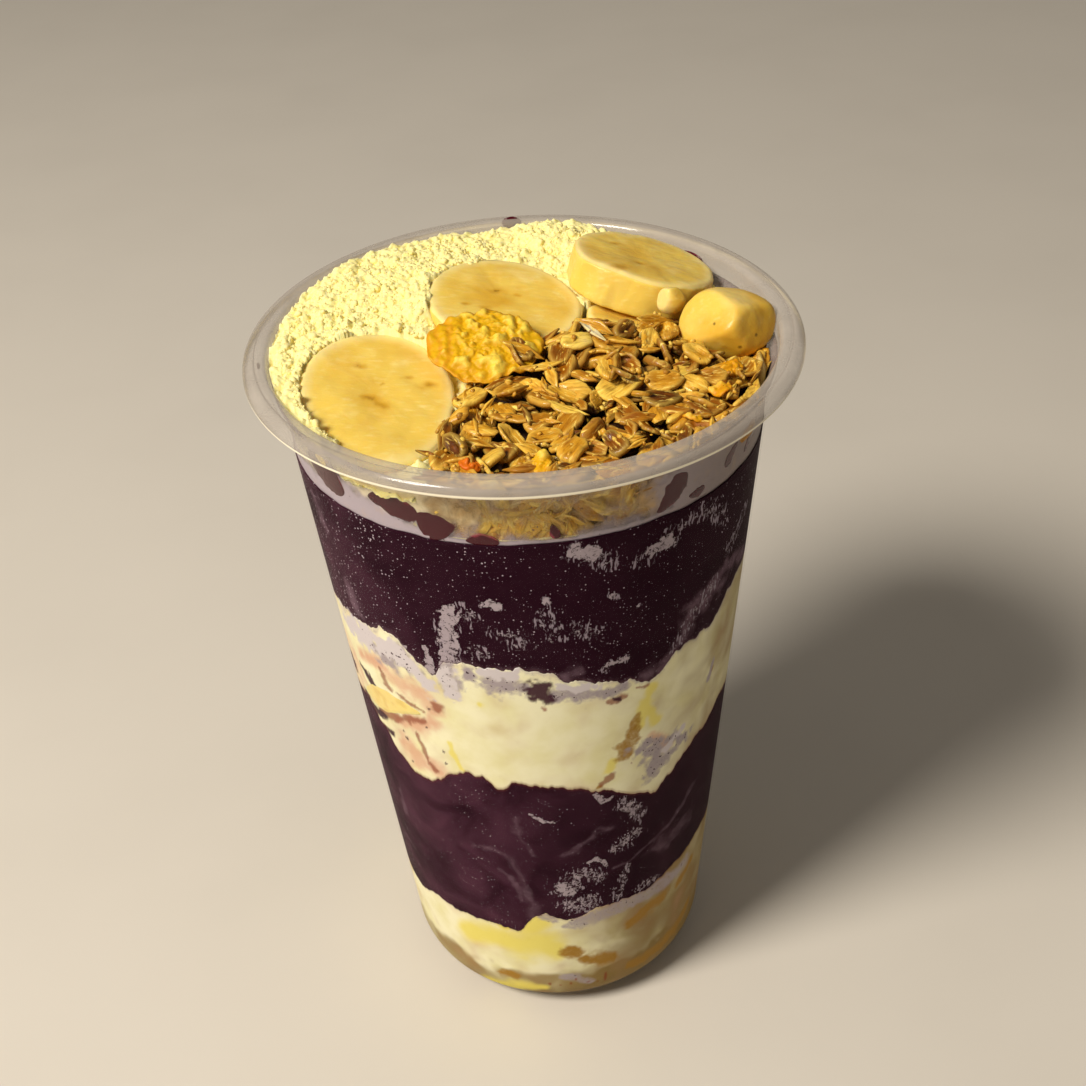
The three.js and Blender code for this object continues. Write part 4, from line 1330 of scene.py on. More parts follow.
def make_slices(look):
    """The slices of banana, each where its CAD piece lies."""
    for number, (name, slice_) in enumerate(SLICES.items()):
        points, faces, marks = slice_body(name, slice_, number)
        piece(f"{name}_flesh", points, faces, look, [name], marks)


# Flat cut sides of the banana tip and of the small piece: the way each faces, and its distance from the
# middle. Then the ways from the tip's middle in which it has dark specks.
TIP_CUTS = [
    ((-0.6, -0.45, 0.66), 4.7), ((0.3, 0.1, 0.95), 5), ((0.62, -0.72, 0.3), 5.6),
    ((-0.3, -0.9, -0.3), 5.8),
]
PIECE_CUTS = [((-0.75, -0.6, 0.3), 1.5), ((0.6, -0.5, 0.6), 1.8), ((0.0, 0.3, 1.0), 2.2)]
TIP_SPECKS = [(-3.6, -5.0, 2.6), (1.2, -5.6, -1.4), (4.6, -4.6, -0.4)]


def cut_lump(node_name, cuts, sharp, fineness, seed):
    """A rounded lump with flat cuts that fills a node's box: its points, faces and each point's way out."""
    low, high = box_mm(node_name)
    middle, half = (low + high) / 2, (high - low) / 2
    ways, faces = pebble(fineness)
    ways = ways / np.linalg.norm(ways, axis=1)[:, None]
    nearness = np.linalg.norm(ways / half, axis=1) ** sharp
    for facing, distance in cuts:
        nearness += (np.maximum(ways @ np.array(facing), 0) / np.linalg.norm(facing) / distance) ** sharp
    points = ways * nearness[:, None] ** (-1 / sharp)
    points += ways * (0.03 * half.min() * lumps(points, 0.6 * half.min(), seed))[:, None]
    return points + middle, faces, ways


def make_banana_end(look):
    """The banana's tip and the small piece beside it: rounded, with cut sides and dark specks."""
    points, faces, ways = cut_lump("banana_end", TIP_CUTS, sharp=15.0, fineness=6, seed=131)
    specks = np.zeros(len(points))
    for at in TIP_SPECKS:
        at = np.array(at) / np.linalg.norm(at)
        specks = np.maximum(specks, eased(1.5 - np.linalg.norm(ways - at, axis=1) / 0.045))
    facing_up = ways @ np.array((0.25, 0.1, 0.96))
    # Painted shade on its lower and right sides and as a golden underside, painted light on the face turned
    # up; the dark specks are its own.
    piece("banana_tip", points, faces, look, ["banana_end"], {
        "shade": np.clip(0.9 - 0.8 * ways[:, 2] + 0.4 * ways[:, 0] + 0.3 * lumps(points, 3.5, 133), 0, 1),
        "pale": np.clip(0.3 * eased((facing_up - 0.6) / 0.35) + 0.12 * lumps(points, 2.5, 134), 0, 1),
        "seeds": eased(-0.1 - 1.4 * ways[:, 2]) * 0.6, "seed_cores": specks * 0.85})
    points, faces, ways = cut_lump("banana_piece", PIECE_CUTS, sharp=12.0, fineness=5, seed=135)
    # Painted shade on the right side, painted light on the left.
    piece("banana_bit", points, faces, look, ["banana_piece"], {
        "shade": 0.4 * eased(ways[:, 0]), "pale": 0.6 * eased(0.4 - 1.4 * ways[:, 0]),
        "seeds": 0, "seed_cores": 0})


# ---- Corn flake ----------------------------------------------------------------------------
FLAKE_RIDGES = 2.1  # mm from one curled ridge to the next
# Bits of corn flake among the oats, as x, y, half-length and browning.
CORN_BITS = [(-9.5, -34.5, 1.9, 0.9), (31.5, -17.5, 2.6, 0.25), (34, -11, 2.2, 0.3), (26, -25.5, 1.8, 0.2),
             (1.5, -35.5, 2.4, 0.1)]


def crisp_body(half, thick, seed, spokes=150, shares=44, rise=1.0, ridges=1.0):
    """A blistered flake with curled ridges at its left and a thin edge, lying flat round the origin."""
    wide, deep = half
    angle = even_angles(spokes)
    rounding = 1 / np.hypot(np.sin(angle) / wide, np.cos(angle) / deep)
    around = stacked(np.sin(angle), np.cos(angle), seed * 3.1) * 3
    waves = 0.98 + 0.03 * np.cos(4 * angle + 1) + 0.02 * np.sin(9 * angle)
    rounding *= waves + 0.05 * lumps(around, 1.6, seed)
    steps = np.linspace(0.03, 1, shares)
    order = [(s, -1) for s in steps] + [(s, 1) for s in steps[::-1]]
    share = np.repeat([s for s, _ in order], spokes)
    side = np.repeat([way for _, way in order], spokes)
    x = share * np.tile(rounding * np.sin(angle), len(order))
    y = -share * np.tile(rounding * np.cos(angle), len(order))
    spots = stacked(x, y, seed * 5.3)
    blisters = np.abs(lumps(spots, 2.3, seed + 1, 2))
    fine = np.abs(lumps(spots, 0.9, seed + 2, 2))
    left = eased((-x / wide - 0.28 + 0.12 * lumps(spots, 4.0, seed + 3, 1)) / 0.3)
    bow = x + 0.035 * (y - 0.1 * deep) ** 2 * np.sign(-x) + 0.7 * lumps(spots, 3.4, seed + 4, 2)
    folds = 0.5 + 0.5 * np.cos(TAU * bow / FLAKE_RIDGES)
    sheet = rise * (1.0 - 1.3 * share**2)
    sheet = sheet + 1.1 * blisters * (1 - 0.4 * left) + 0.4 * fine * (1 - 0.5 * left)
    sheet += ridges * left * (0.3 + 0.35 * folds * eased(0.7 + lumps(spots, 4.0, seed + 5, 1)))
    height = sheet + side * (thick / 2) * (1 - 0.5 * share**8)
    points, faces = closed_body(stacked(x, y, height).reshape(len(order), spokes, 3))
    # Painted highlight on the blister tops, less on the ridged left.
    tops = np.clip(1.3 * blisters + 0.3 * fine - 0.6 * left, 0, 1)
    valleys = left * (1 - folds)
    low_side = eased((-y / deep - 0.35) / 0.6)
    marks = {"edge": eased((share - 0.86) / 0.12), "tops": tops, "valleys": valleys, "low_side": low_side}
    return points, faces, {key: np.append(values, [0, 0]) for key, values in marks.items()}


def make_corn_flake(props):
    """The large corn flake on the toppings, and small bits of corn flake among the oats."""
    look = corn_crisp(props)
    middle, axes, half = lie_of("corn_flake")
    points, faces, marks = crisp_body((half[0] * 0.98, half[1] * 0.98), 0.6, 140)
    points[:, 2] -= half[2] + 0.2
    piece("corn_flake_crisp", points @ axes + middle, faces, look, ["corn_flake"],
          {**marks, "toasted": 0})
    ground = sight("granola")
    bodies, bit_marks = [], []
    for number, (x, y, long, toasted) in enumerate(CORN_BITS):
        body, body_faces, marks = crisp_body(
            (long, long * 0.75), 0.5, 160 + number, spokes=48, shares=12, rise=0.5, ridges=0.4)
        turn = rotation(np.array([1.9 * number]), np.array([2.6 * number]), np.radians([24.0]))[0]
        z = float(heights(ground, [x], [y], NECK_HEIGHT + 3)[0]) + 0.5
        bodies.append((body @ turn.T + (x, y, z), body_faces))
        bit_marks.append({**marks, "toasted": np.full(len(body), toasted)})
    points, faces, _ = joined(bodies)
    piece("corn_flake_bits", points, faces, look,
          marks={key: np.concatenate([m[key] for m in bit_marks]) for key in bit_marks[0]})


# ---- Granola -------------------------------------------------------------------------------
CELL = 0.4  # mm, of the plan in which the heap's height is kept
PLAN_SIZE = int(2 * RIM_INSIDE / CELL) + 8
PLAN_LINE = (np.arange(PLAN_SIZE) - PLAN_SIZE / 2 + 0.5) * CELL
PLAN_X, PLAN_Y = np.meshgrid(PLAN_LINE, PLAN_LINE, indexing="ij")
NOTHING = 999.0  # height given where no topping lies
CORE_DEPTH = 4.5  # of the crumb core under the top of the heap
AT_WALL = (-19, 106)  # azimuths between which the granola shows through the wall
MOST_TRIES = 14000
BATCH = 25  # places drawn at a time
OAT_SHARES = (0.3, 0.58, 0.8, 0.94, 1.0)
# Kinds of oat: share of the heap, number of shapes, half-length, width as a share of it, thickness, how
# much they roll up (curvature in 1/mm) and points round each.
OAT_KINDS = {
    "oat_flakes": {"share": 0.78, "shapes": 16, "long": (2.8, 4.5), "wide": (0.52, 0.7),
                   "thick": (1.2, 1.8), "roll": (0.0, 0.2), "spokes": 16},
    "oat_slivers": {"share": 0.08, "shapes": 12, "long": (2.0, 4.4), "wide": (0.17, 0.3),
                    "thick": (0.6, 1.0), "roll": (0.0, 0.3), "spokes": 10},
    "oat_husks": {"share": 0.14, "shapes": 10, "long": (2.8, 4.2), "wide": (0.55, 0.75),
                  "thick": (0.5, 0.7), "roll": (0.35, 0.65), "spokes": 16},
}
# Where flakes are piled higher, as x, y, rise and radius.
HEAP_CLUSTERS = [
    (16, -13, 2.6, 5), (-1, -8.5, 2, 3.4), (28, -6, 1.2, 4), (-12, -30, 1.2, 4), (27, -14, 1.4, 4),
    (4, -19, 1, 3), (8, -29, 0.8, 4),
]
# Where flakes lie over a topping's edge, as x, y and radius.
HEAP_LAPS = [
    (-0.5, -8, 3.6), (-4, -11.5, 2.6), (6.5, -1.5, 2.4), (-12, -18, 2.6), (-11.5, -23.5, 2.4), (22, 5.5, 2),
    (25.5, 4.6, 1.8),
]
PALE_SLIVER = {"place": (11.5, -3.0), "heading": -57.0, "half_length": 4.0}


def over_plan(tree, missing, upward=False):
    """Heights over the plan's cells."""
    return heights(tree, PLAN_X.ravel(), PLAN_Y.ravel(), missing, upward).reshape(PLAN_X.shape)


def cells(x, y):
    """The plan's cells that places lie in."""
    return tuple(np.clip((v / CELL + PLAN_SIZE / 2).astype(int), 0, PLAN_SIZE - 1) for v in (x, y))


def curled(points, axis, curvature):
    """Points of a sheet that rolls up along an axis, 0 or 1, with a curvature in 1/mm."""
    if abs(curvature) < 1e-6:
        return points
    radius = 1 / curvature
    bent = points.copy()
    bent[:, axis] = (radius - points[:, 2]) * np.sin(points[:, axis] * curvature)
    bent[:, 2] = radius - (radius - points[:, 2]) * np.cos(points[:, axis] * curvature)
    return bent


def oat_flake(rng, long, wide, thick, roll, spokes):
    """One oat flake, lying flat: puffed edges round a furrow, rolled, bent and twisted as it dried."""
    angle = even_angles(spokes)
    c, s = np.cos(angle), np.sin(angle)
    blunt = rng.uniform(2.0, 2.7)
    rounding = (np.abs(c / long) ** blunt + np.abs(s / wide) ** blunt) ** (-1 / blunt)
    rounding *= 1 + 0.16 * c + 0.05 * np.cos(3 * angle + rng.uniform(0, TAU))
    rounding *= 1 + 0.07 * rng.uniform(-1, 1, spokes)
    middle = rng.uniform(-0.25, 0.25) * wide
    crease = rng.uniform(0.1, 0.5)

    def groove(y):
        """1 in the groove along the flake, 0 away from it."""
        return np.exp(-(((y - middle) / (0.2 * wide)) ** 2))

    rings = []
    for share, side in [(s, -1) for s in OAT_SHARES] + [(s, 1) for s in OAT_SHARES[::-1]]:
        x, y = share * rounding * c, share * rounding * s
        z = side * 0.5 * thick * math.sqrt(max(1 - share**4, 0.04)) * (0.85 + 0.4 * share**2)
        if side > 0:
            z = z - crease * thick * groove(y) * (1 - share**2)
        rings.append(stacked(x, y, z))
    flat, faces = closed_body(rings)
    waves = 0.3 * lumps(flat + rng.uniform(0, 90), 2.0, 153, 2)
    points = flat + (0, 0, 1) * waves[:, None] * min(1.0, wide)
    points = curled(curled(points, 1, roll), 0, rng.uniform(-0.08, 0.12))
    twist = rng.uniform(-0.1, 0.1) * points[:, 0]
    c, s = np.cos(twist), np.sin(twist)
    points[:, 1], points[:, 2] = points[:, 1] * c - points[:, 2] * s, points[:, 1] * s + points[:, 2] * c
    reach = np.concatenate([np.repeat([*OAT_SHARES, *OAT_SHARES[::-1]], spokes), [0, 0]])
    # Painted shade on the lower side of the flake's edge.
    flank = eased((reach - 0.86) / 0.1) * eased(0.45 - flat[:, 2] / thick)
    marks = {
        "rim": eased((reach - 0.7) / 0.25) * (1 - flank),
        "flank": flank,
        "furrow": 2 * crease * groove(flat[:, 1]) * (reach < 0.9) * (flat[:, 2] > -0.1),
        "along": flat[:, 0],
        "across": flat[:, 1],
    }
    return points, faces, marks


def oat_shapes(rng):
    """Some shapes of each kind of oat."""
    shapes = {name: [] for name in OAT_KINDS}
    for name, kind in OAT_KINDS.items():
        for _ in range(kind["shapes"]):
            long = rng.uniform(*kind["long"])
            wide = long * rng.uniform(*kind["wide"])
            thick, roll = rng.uniform(*kind["thick"]), rng.uniform(*kind["roll"])
            shapes[name].append(oat_flake(rng, long, wide, thick, roll, kind["spokes"]))
    return shapes


class Heap:
    """A heap of oats that grows flake by flake, each resting on what lies below it."""

    def __init__(self, target):
        """Heights over the plan: of the ground so far, of the goal and of the ceiling above it."""
        toppings = sight(*TOPPING_NODES)
        upper = over_plan(toppings, 0.0)
        beside = over_plan(sight("milk_powder", *TOPPING_NODES), NOTHING)
        inside = target > 0
        lap = np.zeros(target.shape, bool)
        for x, y, radius in HEAP_LAPS:
            lap |= (np.hypot(PLAN_X - x, PLAN_Y - y) < radius) & (upper > 0)
        goal = np.where(inside, target, beside)
        for x, y, rise, radius in HEAP_CLUSTERS:
            goal = goal + rise * np.exp(-((PLAN_X - x) ** 2 + (PLAN_Y - y) ** 2) / radius**2 * 1.5)
        under = over_plan(toppings, NOTHING, upward=True)
        self.open = inside & (under == NOTHING)
        self.wanted = inside | lap
        self.goal = np.where(lap, np.maximum(goal, upper + 1.2), goal)
        self.ground = np.where(lap, upper - 0.3, np.where(inside, target - CORE_DEPTH - 0.2, beside))
        self.ceiling = np.where(lap, NOTHING, under)
        self.reach = wall_radius(NECK_HEIGHT + 0.6, FILM_DEPTH)
        self.rng = np.random.default_rng(151)
        self.shapes = oat_shapes(self.rng)
        self.laid = {name: [] for name in OAT_KINDS}

    def shape_of(self, name):
        """One of the shapes of a kind of oat."""
        return self.shapes[name][self.rng.integers(len(self.shapes[name]))]

    def any_shape(self):
        """A shape of any kind, as often as the kind's share says, and the kind's name."""
        name = self.rng.choice(list(OAT_KINDS), p=[kind["share"] for kind in OAT_KINDS.values()])
        return name, self.shape_of(name)

    def keep(self, name, points, shape, toast):
        """Notes where a shape lies and how brown it is, 0 to 1."""
        self.laid[name].append((points, *shape[1:], toast))

    def fall(self, points, sink):
        """The shape where it comes to rest on what lies below, sunk into it by sink mm."""
        ground = self.ground[cells(*points[:, :2].T)]
        return points + (0, 0, (ground - points[:, 2]).max() - sink)

    def drop(self, poses, sink, over):
        """Rests a shape in the pose that lies lowest.

        Returns None where it would stick out over the goal, through the cup's wall or into a topping."""
        points = min((self.fall(pose, sink) for pose in poses), key=lambda pose: pose[:, 2].max())
        place = cells(*points[:, :2].T)
        top = points[:, 2]
        if from_axis(points).max() > self.reach:
            return None
        if (top > self.goal[place] + over).any() or (top > self.ceiling[place] - 0.2).any():
            return None
        np.maximum.at(self.ground, place, top)
        return points

    def over_cell(self, points, turns, pick):
        """A shape in several turns over one cell."""
        i, j = np.unravel_index(pick, PLAN_X.shape)
        return [points @ turn.T + (PLAN_LINE[i], PLAN_LINE[j], 0) for turn in turns]

    def stand(self, count):
        """Stands flakes against the wall, where the granola shows through it."""
        rng = self.rng
        at = rng.uniform(*AT_WALL, count)
        level = rng.uniform(ACAI_TOP + 1.0, NECK_HEIGHT - 0.5, count)
        heading, tilt = rng.uniform(0, TAU, count), np.radians(rng.normal(90, 16, count))
        turns = rotation(heading, np.radians(at - 90), tilt)
        for turn, place in zip(turns, on_cylinder(at, wall_radius(level, FILM_DEPTH) - 1.2, level)):
            name, shape = self.any_shape()
            stood = shape[0] @ turn.T + place
            away = from_axis(stood)
            out = away - wall_radius(stood[:, 2], FILM_DEPTH + 0.25)
            stood[:, :2] *= (1 - np.maximum(out, 0) / away)[:, None]
            self.keep(name, stood, shape, 0.1 + 0.6 * rng.beta(1.5, 2.6))

    def fill(self, most):
        """Drops flakes where the heap is still low, some of them flipped or steep."""
        rng = self.rng
        count = 0
        for number in range(MOST_TRIES):
            if count >= most:
                break
            if number % BATCH == 0:
                share = (np.clip(self.goal - self.ground - 0.3, 0, 3) * self.wanted).ravel() ** 1.5
                if share.sum() < 25:
                    break
                picks = rng.choice(share.size, BATCH, p=share / share.sum())
            name, shape = self.any_shape()
            flipped = shape[0] * (1, -1, -1) if rng.random() < 0.2 else shape[0]
            steep = rng.random() < 0.28
            tilts = rng.uniform(35, 80, 1) if steep else np.abs(rng.normal(0, 30, 4))
            turns = rotation(*rng.uniform(0, TAU, (2, len(tilts))), np.radians(tilts))
            poses = self.over_cell(flipped, turns, picks[number % BATCH])
            rested = self.drop(poses, 0.6, 2.4 if steep else 1.6)
            if rested is not None:
                count += 1
                self.keep(name, rested, shape, 0.2 + 0.8 * rng.beta(1.6, 1.7))

    def top_up(self, count):
        """Drops large flakes on top, most of them sloping down to the front."""
        rng = self.rng
        for pick in rng.choice(np.flatnonzero(self.wanted.ravel()), count):
            shape = self.shape_of("oat_flakes")
            heading, lean_to = rng.uniform(0, TAU, 3), rng.normal(-1.5, 0.9, 3)
            turns = rotation(heading, lean_to, np.radians(rng.uniform(15, 65, 3)))
            rested = self.drop(self.over_cell(shape[0], turns, pick), 0.7, 2.6)
            if rested is not None:
                self.keep("oat_flakes", rested, shape, 0.15 + 0.6 * rng.beta(1.6, 1.9))

    def lay_pale_sliver(self):
        """The long pale sliver that lies on top."""
        sliver = oat_flake(self.rng, PALE_SLIVER["half_length"], 0.62, 0.6, 0.2, 10)
        heading = np.radians([PALE_SLIVER["heading"]])
        turn = rotation(heading, heading, np.radians([4.0]))[0]
        lying = sliver[0] @ turn.T + (*PALE_SLIVER["place"], 0)
        self.keep("oat_slivers", self.drop([lying], 0.4, NOTHING), sliver, 0.0)


def make_core(props, target):
    """The crumb core of the heap, which the flakes cover; its dark colour is painted shade between them."""
    x, y = plate(90)
    radius = wall_radius(NECK_HEIGHT, FILM_DEPTH) - 2.6
    x, y = x * radius, y * radius
    level = target[cells(x, y)]
    top = np.where(level > 0, level - CORE_DEPTH, ACAI_TOP + 1.0)
    top = top + 0.5 * lumps(stacked(x, y, top), 3.0, 150).reshape(x.shape) * (level > 0)
    points, faces = grid_body(x, y, top, lambda z: radius, ACAI_TOP + 0.15, 4)
    piece("granola_core", points, faces, gap_shade_crumb(props), ["granola"])


def make_oats(heap, look):
    """A piece of each kind of oat in the heap; flakes that lie deep in it are darkened as painted shade."""
    for name, flakes in heap.laid.items():
        points, faces, owner = joined([flake[:2] for flake in flakes])
        toast = np.array([flake[3] for flake in flakes])[owner]
        marks = {key: np.concatenate([flake[2][key] for flake in flakes]) for key in flakes[0][2]}
        marks["toast"] = toast + 0.12 * lumps(points, 2.0, 152) * (toast > 0)
        marks["which"] = 7.3 * owner
        from_wall = wall_radius(points[:, 2], FILM_DEPTH) - from_axis(points)
        covered = heap.ground[cells(*points[:, :2].T)] - points[:, 2]
        # Painted shade where a flake lies under others, away from the wall.
        marks["deep"] = eased((covered - 0.4) / 2.0) * eased((from_wall - 1.5) / 2.0)
        piece(name, points, faces, look, marks=marks)


def make_oat_crumbs(heap, look, count):
    """Crumbs on the heap, between its flakes."""
    rng = heap.rng
    picked = rng.choice(np.flatnonzero(heap.open.ravel()), count)
    spots = stacked(PLAN_X.ravel()[picked], PLAN_Y.ravel()[picked], heap.ground.ravel()[picked] - 0.1)
    spots = spots[from_axis(spots) < heap.reach - 1]
    points, faces = strewn(pebble(1), spots, rng.uniform(0.25, 0.7, len(spots)), rng, 0.3, 0.6)
    owner = np.repeat(np.arange(len(spots)), len(points) // len(spots))
    piece("oat_crumbs", points, faces, look, marks={
        "toast": rng.uniform(0.15, 0.8, len(spots))[owner], "rim": 0.3, "flank": 0.3, "furrow": 0,
        "along": points[:, 0], "across": points[:, 1], "which": 7.3 * owner, "deep": 0})


def make_granola(props):
    """The granola: a smaller core of crumb, dark as painted shade, with real flakes over it, and flakes
    against the wall.
    """
    target = over_plan(sight("granola"), 0.0)
    make_core(props, target)
    heap = Heap(target)
    heap.stand(props.wall_flakes)
    heap.fill(props.flakes)
    heap.top_up(props.top_flakes)
    heap.lay_pale_sliver()
    look = rolled_oats()
    make_oats(heap, look)
    make_oat_crumbs(heap, look, props.crumbs)


# ---- Operators and panel -------------------------------------------------------------------
def colour_property(name, default, description):
    """A colour that the user picks; its default is sRGB hex."""
    return FloatVectorProperty(name=name, description=description, subtype="COLOR", size=3, min=0, max=1,
                               default=linear(default)[:3])


def count_property(name, default, description, least=1):
    """How many there are of something."""
    return IntProperty(name=name, description=description, default=default, min=least)


class CupProperties(bpy.types.PropertyGroup):
    """The plastic cup."""

    spokes: count_property("Facets round", 192, "Faces round the cup", 48)
    milk: FloatProperty(name="Milkiness", description="How much of the wall's own white shows",
                        subtype="FACTOR", default=0.035, min=0, max=1)
    tint: colour_property("Tint", "#bcb3a9", "Colour of the plastic where it is thick")


class FillingProperties(bpy.types.PropertyGroup):
    """The layers in the cup."""

    ragged: FloatProperty(name="Raggedness", description="How uneven the layer lines are, in millimetres",
                          default=0.45, min=0, max=2)
    cream: colour_property("Cream", "#f5f0cb", "Colour of the cream")
    acai: colour_property("Acai", "#230716", "Colour of the sorbet")


class WallProperties(bpy.types.PropertyGroup):
    """What clings to the inner wall."""

    smear: colour_property("Melted acai", "#420514", "Colour of the smears")
    film: colour_property("Milk film", "#ada1aa", "Colour of the film above the acai")


class PowderProperties(bpy.types.PropertyGroup):
    """The milk powder."""

    powder: colour_property("Milk powder", "#fdf0a6", "Colour of the powder")
    relief: FloatProperty(name="Relief", description="How deep its clumps are", default=1.0, min=0, max=2)
    clumps: count_property("Clumps", 900, "Loose clumps on top")
    crumbs: count_property("Crumbs", 2600, "Loose crumbs on top")


class BananaProperties(bpy.types.PropertyGroup):
    """The banana."""

    flesh: colour_property("Flesh", "#eecd5e", "Colour of the cut banana")


class GranolaProperties(bpy.types.PropertyGroup):
    """The granola and the corn flake."""

    # Painted shade: the dark colour seen between the oat flakes.
    crumb: colour_property("Crumb", "#341804", "Colour between the oat flakes")
    flake: colour_property("Corn flake", "#dbaa08", "Colour of the corn flake")
    flakes: count_property("Oat flakes", 1100, "Most flakes in the heap")
    top_flakes: count_property("Flakes on top", 260, "Large flakes tried on top of the heap")
    crumbs: count_property("Oat crumbs", 500, "Small bits between the flakes")
    wall_flakes: count_property("Flakes at the wall", 170, "Flakes that lie against the wall")


class StageProperties(bpy.types.PropertyGroup):
    """Floor, lights and camera."""

    floor: colour_property("Floor", "#dcd6cc", "Colour of the floor")
    key: FloatProperty(name="Key light", description="Power of the main light", unit="POWER", default=13.3)
    fill: FloatProperty(name="Fill light", description="Power of the second", unit="POWER", default=0.08)
    sky: FloatProperty(name="Room light", description="Strength of the light from all round", default=0.18)
    lens: FloatProperty(name="Lens", description="Focal length", subtype="DISTANCE_CAMERA", default=56.35)


class AcaiCupProperties(bpy.types.PropertyGroup):
    """All settings of the acai cup."""

    cup: PointerProperty(type=CupProperties)
    filling: PointerProperty(type=FillingProperties)
    wall: PointerProperty(type=WallProperties)
    powder: PointerProperty(type=PowderProperties)
    banana: PointerProperty(type=BananaProperties)
    granola: PointerProperty(type=GranolaProperties)
    stage: PointerProperty(type=StageProperties)


class ACAI_OT_cup(bpy.types.Operator):
    """Makes the clear plastic cup"""

    bl_idname = "acai_cup.cup"
    bl_label = "Cup"

    def execute(self, context):
        make_cup(context.scene.acai_cup.cup)
        return {"FINISHED"}


class ACAI_OT_layers(bpy.types.Operator):
    """Makes the layers of cream and acai"""

    bl_idname = "acai_cup.layers"
    bl_label = "Cream and acai"

    def execute(self, context):
        make_layers(context.scene.acai_cup.filling)
        return {"FINISHED"}


class ACAI_OT_smears(bpy.types.Operator):
    """Makes the melted acai and the milk film on the inner wall"""

    bl_idname = "acai_cup.smears"
    bl_label = "Smears and film"

    def execute(self, context):
        make_smears(context.scene.acai_cup.wall)
        make_film(context.scene.acai_cup.wall)
        return {"FINISHED"}


class ACAI_OT_powder(bpy.types.Operator):
    """Makes the heap of milk powder with its loose clumps"""

    bl_idname = "acai_cup.powder"
    bl_label = "Milk powder"

    def execute(self, context):
        make_powder(context.scene.acai_cup.powder)
        return {"FINISHED"}


class ACAI_OT_banana(bpy.types.Operator):
    """Makes the banana slices, the banana tip and the banana in the cream"""

    bl_idname = "acai_cup.banana"
    bl_label = "Banana"

    def execute(self, context):
        look = banana_flesh(context.scene.acai_cup.banana)
        make_slices(look)
        make_banana_end(look)
        make_banana_in_cream(look)
        return {"FINISHED"}


class ACAI_OT_granola(bpy.types.Operator):
    """Makes the granola heap from separate oat flakes"""

    bl_idname = "acai_cup.granola"
    bl_label = "Granola"

    def execute(self, context):
        make_granola(context.scene.acai_cup.granola)
        return {"FINISHED"}


class ACAI_OT_corn_flake(bpy.types.Operator):
    """Makes the corn flake"""

    bl_idname = "acai_cup.corn_flake"
    bl_label = "Corn flake"

    def execute(self, context):
        make_corn_flake(context.scene.acai_cup.granola)
        return {"FINISHED"}


# ---- Stage ---------------------------------------------------------------------------------
CAMERA_AIM = Vector((0, 0, 95.6)) * MM
CAMERA_DISTANCE = 313.4 * MM
CAMERA_ELEVATION = math.radians(35.55)
CAMERA_TURN = math.radians(0.23)
CAMERA_ROLL = math.radians(-3.67)
SENSOR = 36.0


def camera_matrix():
    """The camera stands in front, looks down at its aim and is rolled a little."""
    level = Vector((math.cos(CAMERA_TURN), -math.sin(CAMERA_TURN) * math.cos(CAMERA_ELEVATION),
                    math.sin(CAMERA_TURN) * math.sin(CAMERA_ELEVATION)))
    ahead = Vector((0, math.cos(CAMERA_ELEVATION), -math.sin(CAMERA_ELEVATION)))
    place = CAMERA_AIM - ahead * CAMERA_DISTANCE
    ahead = (ahead * math.cos(CAMERA_TURN) + Vector((1, 0, 0)) * math.sin(CAMERA_TURN)).normalized()
    upward = level.cross(ahead)
    right = level * math.cos(CAMERA_ROLL) + upward * math.sin(CAMERA_ROLL)
    up = right.cross(ahead)
    return Matrix.Translation(place) @ Matrix((right, up, -ahead)).transposed().to_4x4()


def area_light(name, place, size, power, colour):
    """A soft light at place, in metres, that faces the middle of the cup."""
    light = bpy.data.lights.new(name, "AREA")
    light.shape = "DISK"
    light.size = size
    light.energy = power
    light.color = linear(colour)[:3]
    holder = bpy.data.objects.new(name, light)
    holder.location = place
    aim = Vector((0, 0, 0.5 * CUP_HEIGHT * MM)) - Vector(place)
    holder.rotation_mode = "QUATERNION"
    holder.rotation_quaternion = aim.to_track_quat("-Z", "Y")
    bpy.context.scene.collection.objects.link(holder)


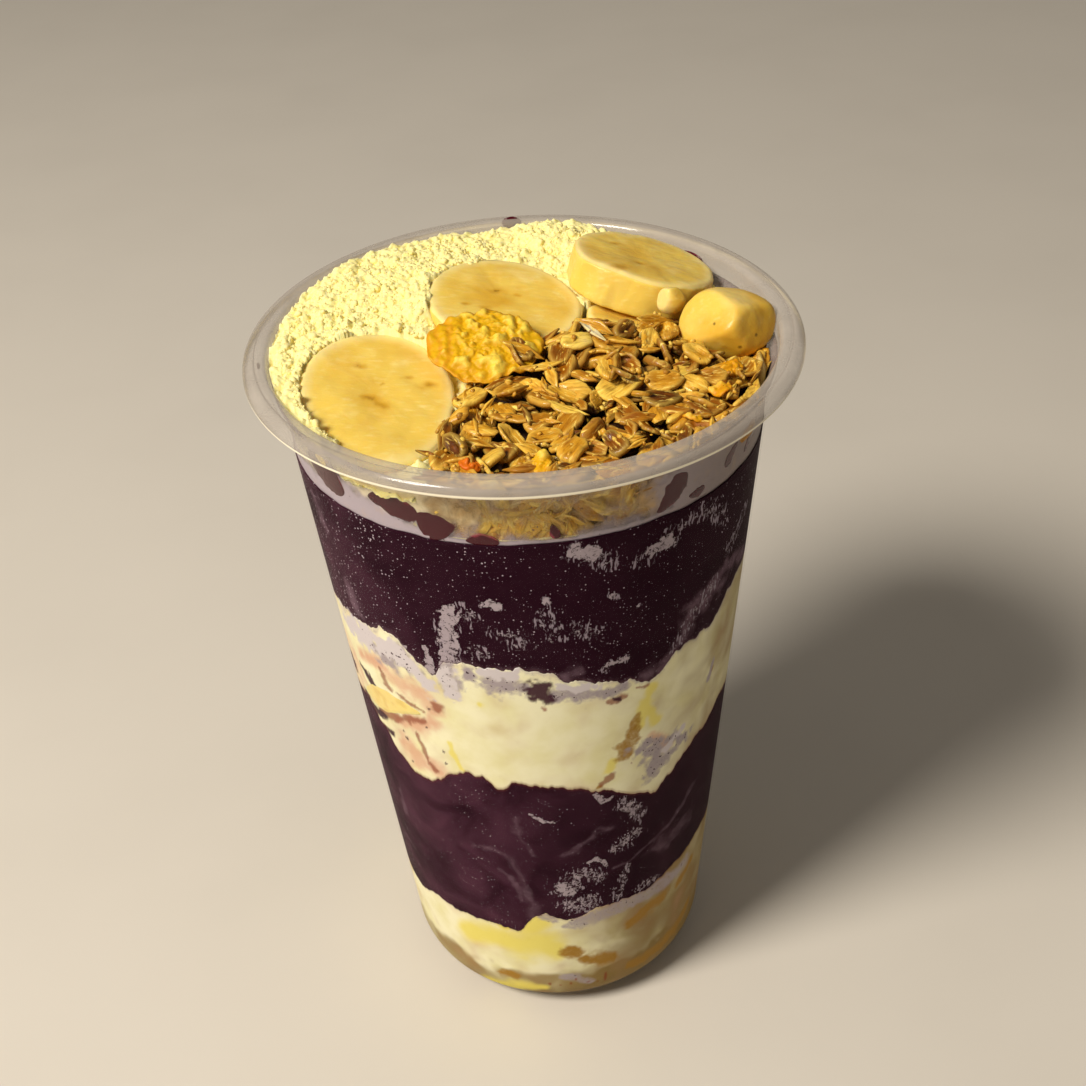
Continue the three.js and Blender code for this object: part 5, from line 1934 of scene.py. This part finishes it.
def make_stage(props):
    """The floor, the lights, the room and the camera."""
    half, edge = 2.0, 24
    line = np.linspace(-half, half, edge) / MM
    points = stacked(*np.meshgrid(line, line), 0) * MM
    faces = [(i * edge + j, i * edge + j + 1, (i + 1) * edge + j + 1, (i + 1) * edge + j)
             for i in range(edge - 1) for j in range(edge - 1)]
    mesh = bpy.data.meshes.new("floor")
    mesh.from_pydata(points.tolist(), [], faces)
    mesh.materials.append(plain_floor(props))
    floor = bpy.data.objects.new("floor", mesh)
    bpy.context.scene.collection.objects.link(floor)

    area_light("key_light", (-0.57, -0.42, 0.88), 0.34, props.key, "#fff6e8")
    area_light("fill_light", (0.7, -0.6, 0.5), 0.7, props.fill, "#f4f6ff")

    world = bpy.data.worlds.new("room")
    world.use_nodes = True
    background = world.node_tree.nodes["Background"]
    background.inputs["Color"].default_value = linear("#faf0e2")
    background.inputs["Strength"].default_value = props.sky
    bpy.context.scene.world = world
    bpy.context.scene.view_settings.view_transform = "Standard"

    camera = bpy.data.cameras.new("camera")
    camera.lens = props.lens
    camera.sensor_width = SENSOR
    camera.clip_start = 0.01
    holder = bpy.data.objects.new("camera", camera)
    holder.matrix_world = camera_matrix()
    bpy.context.scene.collection.objects.link(holder)
    bpy.context.scene.camera = holder


class ACAI_OT_stage(bpy.types.Operator):
    """Makes the floor, the lights and the camera"""

    bl_idname = "acai_cup.stage"
    bl_label = "Stage"

    def execute(self, context):
        make_stage(context.scene.acai_cup.stage)
        return {"FINISHED"}


STEPS = ["cup", "layers", "smears", "powder", "banana", "granola", "corn_flake", "stage"]


class ACAI_PT_panel(bpy.types.Panel):
    """Lists the settings and the steps that build the cup"""

    bl_idname = "ACAI_PT_panel"
    bl_label = "Acai cup"
    bl_space_type = "VIEW_3D"
    bl_region_type = "UI"
    bl_category = "Acai cup"

    def draw(self, context):
        for step in STEPS:
            self.layout.operator(f"acai_cup.{step}")
        settings = context.scene.acai_cup
        for group in settings.__annotations__:
            box = self.layout.box()
            for name in getattr(settings, group).__annotations__:
                box.prop(getattr(settings, group), name)


CLASSES = [
    CupProperties, FillingProperties, WallProperties, PowderProperties, BananaProperties,
    GranolaProperties, StageProperties, AcaiCupProperties, ACAI_OT_cup, ACAI_OT_layers, ACAI_OT_smears,
    ACAI_OT_powder, ACAI_OT_banana, ACAI_OT_granola, ACAI_OT_corn_flake, ACAI_OT_stage, ACAI_PT_panel,
]


def register():
    """Adds the classes, and the settings to the scene."""
    for item in CLASSES:
        bpy.utils.register_class(item)
    bpy.types.Scene.acai_cup = PointerProperty(type=AcaiCupProperties)


def unregister():
    """Takes them away again."""
    del bpy.types.Scene.acai_cup
    for item in reversed(CLASSES):
        bpy.utils.unregister_class(item)


def main():
    """Makes every piece and the stage."""
    register()
    for step in STEPS:
        getattr(bpy.ops.acai_cup, step)()


if __name__ == "__main__":
    main()
